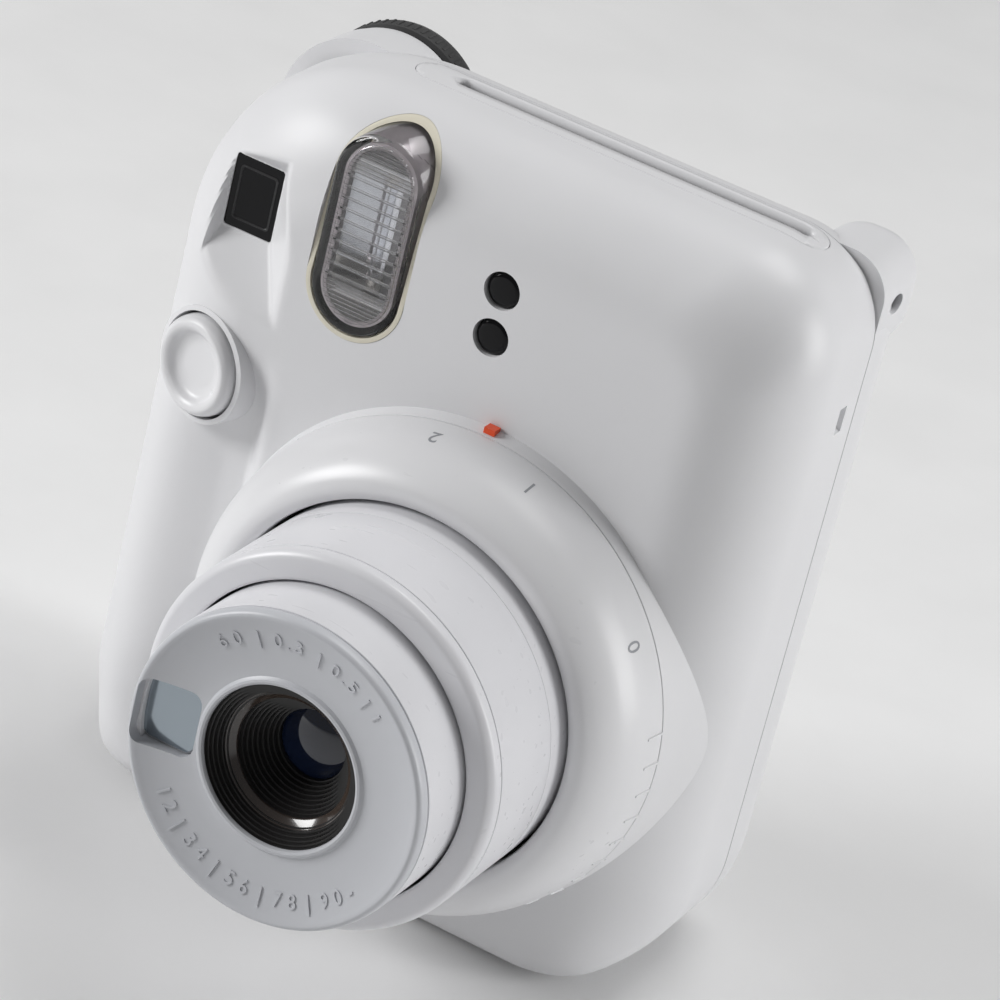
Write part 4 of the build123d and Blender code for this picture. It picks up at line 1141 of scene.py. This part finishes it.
frame_ring = add_mesh("mirror_frame", *prism_parts(frame_outline, -45.25, -44.65))
boolean(frame_ring, [prism_parts(rounded_outline(MIRROR_X, MIRROR_Z, 8.7, 9.9, 1.65), -47, -43)])
print("plate:", len(plate.data.polygons), "faces with", len(TOP_TEXT) + len(LOW_TEXT), "raised signs")

# %% Hood and front element
HOOD_MOUTH, HOOD_THROAT, HOOD_RINGS = (12.15, -46.3), (5.4, -37.4), 15
hood_inner = []
for i in range(HOOD_RINGS):
    t, t_next = i / HOOD_RINGS, (i + 1) / HOOD_RINGS
    r = HOOD_MOUTH[0] + (HOOD_THROAT[0] - HOOD_MOUTH[0]) * t
    r_next = HOOD_MOUTH[0] + (HOOD_THROAT[0] - HOOD_MOUTH[0]) * t_next
    y = HOOD_MOUTH[1] + (HOOD_THROAT[1] - HOOD_MOUTH[1]) * t ** 1.15
    y_next = HOOD_MOUTH[1] + (HOOD_THROAT[1] - HOOD_MOUTH[1]) * t_next ** 1.15
    hood_inner += [(r, y), (r - 0.06, y_next + 0.06), (r_next + 0.1, y_next)]
hood_profile = hood_inner + [HOOD_THROAT, (5.4, -34.9), (7.4, -34.9), (12.1, -43.5), (12.25, -46.2)]
hood = turned("lens_hood_skin", hood_profile, LENS_X, LENS_Z, 160)
ring_profile = rounded_profile([
    (9.0, -42.9, 0.1), (9.75, -43.5, 0.25), (10.3, -43.9, 0.1), (10.3, -42.9, 0), (9.0, -42.4, 0)])
brown = turned("baffle_ring", ring_profile, LENS_X, LENS_Z, 160)
dome = [(0.0, -37.9)] + [(r, -37.9 + 1.25 * (r / 5.35) ** 2) for r in (0.8, 1.6, 2.4, 3.2, 4.0, 4.8, 5.35)]
element = add_mesh("front_element_skin", *lathe_y(dome + [(5.35, -35.2), (0.0, -35.2)], LENS_X, LENS_Z, 96))
print("hood has", HOOD_RINGS, "ridges")

# %% [markdown]
# ## The flash
#
# The flash is a clear moulded cover with round ends, standing a little proud, with a cream seal round it. Its
# inner face is ribbed: close ridges in both round ends and wider lines across the middle spread the light.
# Behind it are a chromed trough and a thin glass tube. The ridges are one bar repeated along a line by the
# second node tree; in the two round ends each bar has its own length, so those are placed one by one.

# %% Flash cover, seal and ridges
def swept_stadium(profile, x, z, w, h, steps=20):
    """A closed profile of (outward offset, y) swept round a stadium."""
    rings = []
    for off, y in profile:
        outline = stadium_outline(x, z, w, h, off)
        rings.append([(px, y, pz) for px, pz in outline])
    return np.array([p for ring in rings for p in ring], float), swept_faces(len(rings[0]), len(rings))


def capped_stadium(profile, x, z, w, h):
    """An open profile swept round a stadium, its two ends closed by flat faces."""
    points, faces = swept_stadium(profile, x, z, w, h)
    m = len(profile)
    n = len(points) // m
    return points, faces[: n * (m - 1)] + [tuple(reversed(range(n))), tuple(range((m - 1) * n, m * n))]


cover_roll = [(-1.3, 0.0), (-0.75, 0.06), (-0.35, 0.25), (-0.1, 0.6), (0.0, 1.15)]
cover_line = [(o, FLASH["face"] + d) for o, d in cover_roll]
cover_line += [(0.0, 9.0), (-1.2, 9.0), (-1.3, FLASH["face"] + 2.2), (-1.9, FLASH["face"] + 1.3)]
points, faces = capped_stadium(cover_line, *FLASH_OVAL)
flash_cover = add_mesh("flash_cover_skin", points, outward(points, faces), 50)

liner_line = [(-1.42, FLASH["face"] + 1.5), (-1.42, 8.8), (-1.75, 8.8), (-2.35, FLASH["face"] + 1.5)]
points, faces = swept_stadium(liner_line, *FLASH_OVAL)
liner = add_mesh("flash_liner", points, outward(points, faces), 40)


def hugging_ring(inner_off, outer_off, lift, depth):
    """A ring round the flash whose face follows the casing, standing lift proud of it."""
    columns = []
    offs = (inner_off, inner_off, (inner_off + outer_off) / 2, outer_off, outer_off)
    lifts = (-depth, lift * 0.6, lift, lift * 0.5, -depth)
    for off, up in zip(offs, lifts):
        outline = np.array([(px, BODY_FRONT - 3, pz) for px, pz in stadium_outline(*FLASH_OVAL, off)])
        base = settle(outline, casing, 0.0, free=(0, 1, 0), rounds=30)
        base[:, 1] -= up
        columns.append(base)
    points = np.vstack(columns)
    return points, outward(points, swept_faces(len(columns[0]), len(columns)))


seal = add_mesh("flash_gasket_skin", *hugging_ring(0.08, 0.8, 0.12, 1.6), 50)


def bar_parts(length, depth, thick):
    """A lens-like ridge across X: flat behind, rounded toward the front."""
    arc = [(depth * math.sin(a), -thick / 2 * math.cos(a)) for a in np.linspace(0, math.pi, 7)]
    return between([(-length / 2, d, z) for d, z in arc], [(length / 2, d, z) for d, z in arc])


INNER_FACE = FLASH["face"] + 1.34
HALF_W = FLASH["w"] / 2 - 2.0
END_CENTRE = FLASH["h"] / 2 - FLASH["w"] / 2
END_PITCH, END_ROWS = 0.62, 9
end_bars = []
for side in (1, -1):
    for k in range(END_ROWS):
        dz = END_CENTRE + 0.4 + k * END_PITCH
        half = math.sqrt(max((HALF_W + 0.1) ** 2 - (dz - END_CENTRE) ** 2, 0.3))
        points, faces = bar_parts(2 * half, 0.34, 0.5)
        end_bars.append((points + (FLASH["x"], INNER_FACE, FLASH["z"] + side * dz), faces))


def ridge_row(name, bar, x, pitch, rows):
    """Bars stacked upright about the flash's middle."""
    return repeat(name, ROW, bar, Count=rows, Step=(0.0, 0.0, pitch * MM), Material=finish["flash_glass"],
                  First=(x * MM, INNER_FACE * MM, (FLASH["z"] - pitch * (rows - 1) / 2) * MM))


ridge_rows = [add_mesh("end_ridges", *joined(*end_bars)),
              ridge_row("mid_ridges", bar_parts(2 * HALF_W, 0.22, 0.46), FLASH["x"], 1.72, 10)]
for side in (1, -1):
    edge_x = FLASH["x"] + side * HALF_W
    ridge_rows.append(ridge_row(f"edge_teeth_{side}", bar_parts(0.9, 0.6, 0.44), edge_x, 0.8, 21))
ridges = absorb(*ridge_rows)
ridges.name = "flash_ridges"
trough = [(-5.3, 0.6), (-4.6, 2.6), (-3.4, 4.8), (-1.9, 6.4), (0.0, 7.0), (1.9, 6.4), (3.4, 4.8), (4.6, 2.6),
          (5.3, 0.6), (5.6, 0.6), (4.9, 2.8), (3.6, 5.1), (2.0, 6.75), (0, 7.4), (-2.0, 6.75), (-3.6, 5.1),
          (-4.9, 2.8), (-5.6, 0.6)]
trough_ends = (FLASH["z"] - 10.2, FLASH["z"] + 10.2)
low, high = [[(FLASH["x"] + x, y, z) for x, y in trough] for z in trough_ends]
back = add_mesh("reflector_trough", *between(low, high), 50)
ends = [add_mesh("end", *box_parts(FLASH["x"] - 5.4, FLASH["x"] + 5.4, 0.6, 7.2, z - 0.15, z + 0.15))
        for z in trough_ends]
reflector = absorb(back, *ends)
tube = add_mesh("flash_tube_skin", *upright(FLASH["x"], 4.3, 1.05, FLASH["z"] - 8.4, FLASH["z"] + 8.4, 32))
caps = [add_mesh("cap", *upright(FLASH["x"], 4.3, 1.25, a, b, 32)) for a, b in
        ((FLASH["z"] - 9.6, FLASH["z"] - 7.6), (FLASH["z"] + 7.6, FLASH["z"] + 9.6))]
electrodes = absorb(*caps)
electrodes.name = "flash_electrodes"
print("flash ridges:", len(ridges.data.polygons), "faces")

# %% [markdown]
# ## Release button, finder, sensor eyes and eyecup
#
# The release is a soft-rimmed dish tilted with the grip's surface, in a well with a thin dark gap. The finder
# shows a black glass, deep set, with a faint frame inside. Two glossy black eyes measure the light.

# %% Small fittings
button_profile = rounded_profile([
    (0, 0.25, 0), (3.6, 0.35, 1.2), (4.9, 0.8, 0.8), (5.5, 1.75, 0.7), (6.1, 2.1, 0.5), (6.75, 2.12, 0.5),
    (7.4, 1.55, 0.6), (7.68, 0.5, 0.5), (7.7, -2.4, 0.1), (0, -2.4, 0)], 0.3, 6)
button = add_mesh("shutter_button_skin", *button_parts(button_profile), 40)
stem = add_mesh("stem", *button_parts([(0, -6.1), (1.9, -6.1), (1.9, -2.2), (0, -2.2)], 32))
button = absorb(button, stem)
well_floor = add_mesh("button_well", *button_parts([
    (BUTTON["r"] + 0.44, 0.4), (BUTTON["r"] + 1.2, 0.2), (BUTTON["r"] + 1.2, -3.9),
    (BUTTON["r"] + 0.44, -3.9)]))

finder_outline = rounded_outline(*FINDER, 8.2, 11.4, 0.45)
finder_glass = add_mesh("finder_window_skin", *prism_parts(finder_outline, 4.75, 5.6))
INNER_FRAME = (-37.9, 99.4)
frame_outline = rounded_outline(*INNER_FRAME, 6.4, 8.6, 0.6)
finder_frame = add_mesh("finder_inner_frame", *prism_parts(frame_outline, 4.70, 4.9))
boolean(finder_frame, [prism_parts(rounded_outline(*INNER_FRAME, 5.7, 7.9, 0.5), 3, 7)])


def eye_parts(z):
    profile = rounded_profile(
        [(0, -1.25, 0), (2.1, -1.15, 0.4), (2.7, -0.75, 0.4), (2.72, 0.4, 0), (0, 0.4, 0)], 0.2, 5)
    return lathe_y(profile, SENSORS["x"], z, 64)


eyes = [add_mesh(name, *eye_parts(z)) for name, z in zip(("metering_eye", "flash_eye"), SENSORS["zs"])]

cup_line = curved([(8.6, 46.2), (10.2, 48.0), (11.6, 48.5), (12.9, 48.1), (13.5, 46.6), (13.5, 43.8)], 6)
cup_profile = [(7.7, 43.2), (7.7, 45.4)] + [tuple(p) for p in cup_line] + [(13.0, 43.2)]
cup = turned("eyecup_skin", cup_profile, EYE_X, EYE_Z, 128)
CUP_RIDGES = 60
cup_ridges = repeat("eyecup_ridges", RING, rib_parts(13.3, 13.62, 13.68, 44.2, 46.4, 0.7, 0.4),
                    Count=CUP_RIDGES, Start=0.0, Pitch=2 * math.pi / CUP_RIDGES,
                    Centre=(EYE_X * MM, 0.0, EYE_Z * MM), Material=finish["rubber"])
cup = absorb(cup, cup_ridges)

knob = add_mesh("door_latch_skin", *pillow(LATCH_X, 54.6, 5.5, 17.8, 1.8, 42.0, 45.3, 0.9, 0.5))
LATCH_RIDGES = 7
RIDGE_STEP, KNOB_FACE, KNOB_Z = 1.5, 45.25, 54.6
latch_bars = repeat("latch_bars", ROW, bar_parts(3.9, 0.42, 0.7), Count=LATCH_RIDGES,
                    First=(LATCH_X * MM, KNOB_FACE * MM, (KNOB_Z - RIDGE_STEP * (LATCH_RIDGES - 1) / 2) * MM),
                    Step=(0.0, 0.0, RIDGE_STEP * MM), Material=finish["trim"])
latch = absorb(knob, latch_bars,
               add_mesh("plate", *box_parts(LATCH_X - 4.2, LATCH_X + 4.2, 39.7, 40.8, 45.0, 62.0)),
               add_mesh("neck", *box_parts(LATCH_X - 2.2, LATCH_X + 2.2, 40.7, 42.2, 48.0, 60.0)))
print("eyecup ridges:", CUP_RIDGES, "latch ridges:", LATCH_RIDGES)

# %% [markdown]
# ## Which skin rides on which part
#
# Each skin stands for one or more pieces of the functional frame and moves with the same body. Inner pieces
# keep their own meshes and only get a proper finish.

# %% Ride, replace and paint
skins = [
    (front_cover, "camera_body", "shell", "shell", ("front_cover",)),
    (rear_cover, "camera_body", "shell", "shell", ("rear_cover",)),
    (film_insert, "camera_body", "trim", "trim", ("film_slot_insert",)),
    (battery_cover, "battery_cover", "shell", "shell", ("battery_cover",)),
    (door, "back_door", "shell", "shell", ("back_door",)),
    (dial, "lens_dial", "trim", "trim", ("lens_dial",)),
    (dial_print, "lens_dial", "print", None, ()),
    (outer_barrel, "outer_barrel", "barrel", "barrel", ("outer_barrel",)),
    (outer_cap, "outer_barrel", "barrel", "barrel", ("outer_barrel_cap",)),
    (inner_barrel, "lens_unit", "barrel", "barrel", ("inner_barrel",)),
    # The plate finish, here and on the mirror frame, is the white plastic painted darker: painted shade.
    (plate, "lens_unit", "plate", "plate", ("front_plate",)),
    (mirror, "lens_unit", "mirror", "mirror", ("selfie_mirror",)),
    (frame_ring, "lens_unit", "plate", "plate", ()),
    (hood, "lens_unit", "hood", "black", ("lens_hood",)),
    (brown, "lens_unit", "brown_ring", None, ()),
    (element, "lens_unit", "element", "glass", ("front_lens",)),
    (flash_cover, "camera_body", "flash_glass", "flash_glass", ("flash_window",)),
    (ridges, "camera_body", "flash_glass", "flash_glass", ()),
    (seal, "camera_body", "gasket", "gasket", ("flash_gasket",)),
    (reflector, "camera_body", "reflector", "reflector", ("flash_reflector",)),
    (liner, "camera_body", "liner", None, ()),
    (tube, "camera_body", "glass", "glass", ("flash_tube",)),
    (electrodes, "camera_body", "nickel", "nickel", ()),
    (button, "shutter_button", "trim", "trim", ("shutter_button",)),
    (well_floor, "camera_body", "shell", "shell", ()),
    (finder_glass, "camera_body", "gloss_black", "gloss_black", ("viewfinder_window",)),
    (finder_frame, "camera_body", "black", "black", ()),
    (eyes[0], "camera_body", "gloss_black", "gloss_black", ("metering_window",)),
    (eyes[1], "camera_body", "gloss_black", "gloss_black", ("flash_sensor_window",)),
    (cup, "camera_body", "rubber", "rubber", ("eyecup",)),
    (latch, "door_latch", "trim", "trim", ("door_latch",)),
]
for obj, body, key, slot_name, stands_for in skins:
    paint(obj, key)
    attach(obj, body)
    if stands_for:
        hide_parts(*stands_for)

painted = 0
for row in frame["record"]["subparts"]:
    if row["material_slot"] in finish:
        paint(nodes[row["node"]], row["material_slot"])
        painted += 1
print("skins:", len(skins), "painted frame nodes:", painted, "of", len(nodes))

# %% [markdown]
# ## Floor, light and camera
#
# The camera stands on a plain pale floor. A large soft light high to the left front models the rounded front,
# a weaker one from behind and right draws the top edge and the barrel's far side, and a pale surround fills
# the rest.

# %% Stage
floor_mesh = bpy.data.meshes.new("floor")
FLOOR_HALF = 3.0
corners = [(x * FLOOR_HALF, y * FLOOR_HALF, 0) for x, y in ((-1, -1), (1, -1), (1, 1), (-1, 1))]
floor_mesh.from_pydata(corners, [], [(0, 1, 2, 3)])
floor = linked("floor", floor_mesh)
floor.data.materials.append(moulded("pale_floor", (0.86, 0.86, 0.86), 0.7, 0.02, 900.0))


def area_light(name, location, target, size, power, colour=(1, 1, 1)):
    data = bpy.data.lights.new(name, "AREA")
    data.shape = "RECTANGLE"
    data.size, data.size_y = size
    data.energy = power
    data.color = colour
    obj = linked(name, data)
    obj.location = location
    obj.rotation_euler = (Vector(target) - Vector(location)).to_track_quat("-Z", "Y").to_euler()
    return obj


MIDDLE = (0.0, 0.0, 0.06)
area_light("key", (-1.0, -0.50, 0.55), MIDDLE, (0.5, 0.5), 10.0)
area_light("top_back", (0.15, 0.35, 0.95), MIDDLE, (0.6, 0.4), 3.8)
area_light("right_rim", (0.95, 0.25, 0.25), MIDDLE, (0.3, 0.7), 5.0)
world = bpy.data.worlds.new("surround")
bpy.context.scene.world = world
world.use_nodes = True
world.node_tree.nodes["Background"].inputs["Color"].default_value = (1.0, 1.0, 1.0, 1)
world.node_tree.nodes["Background"].inputs["Strength"].default_value = 0.19

bpy.context.scene.view_settings.view_transform = "Standard"

camera_data = bpy.data.cameras.new("camera")
camera_data.lens = 180.0
camera_data.sensor_width = 36.0
camera_data.clip_start = 0.05
camera = linked("camera", camera_data)
RIGHT = (0.85038, 0.47945, 0.21676)
UP = (-0.39557, 0.31090, 0.86421)
AHEAD = (-0.34695, 0.82065, -0.45404)
camera.matrix_world = Matrix((
    (RIGHT[0], UP[0], -AHEAD[0], 0.2609),
    (RIGHT[1], UP[1], -AHEAD[1], -0.5863),
    (RIGHT[2], UP[2], -AHEAD[2], 0.3982),
    (0, 0, 0, 1)))
bpy.context.scene.camera = camera
print("camera at", [round(v, 3) for v in camera.matrix_world.translation])
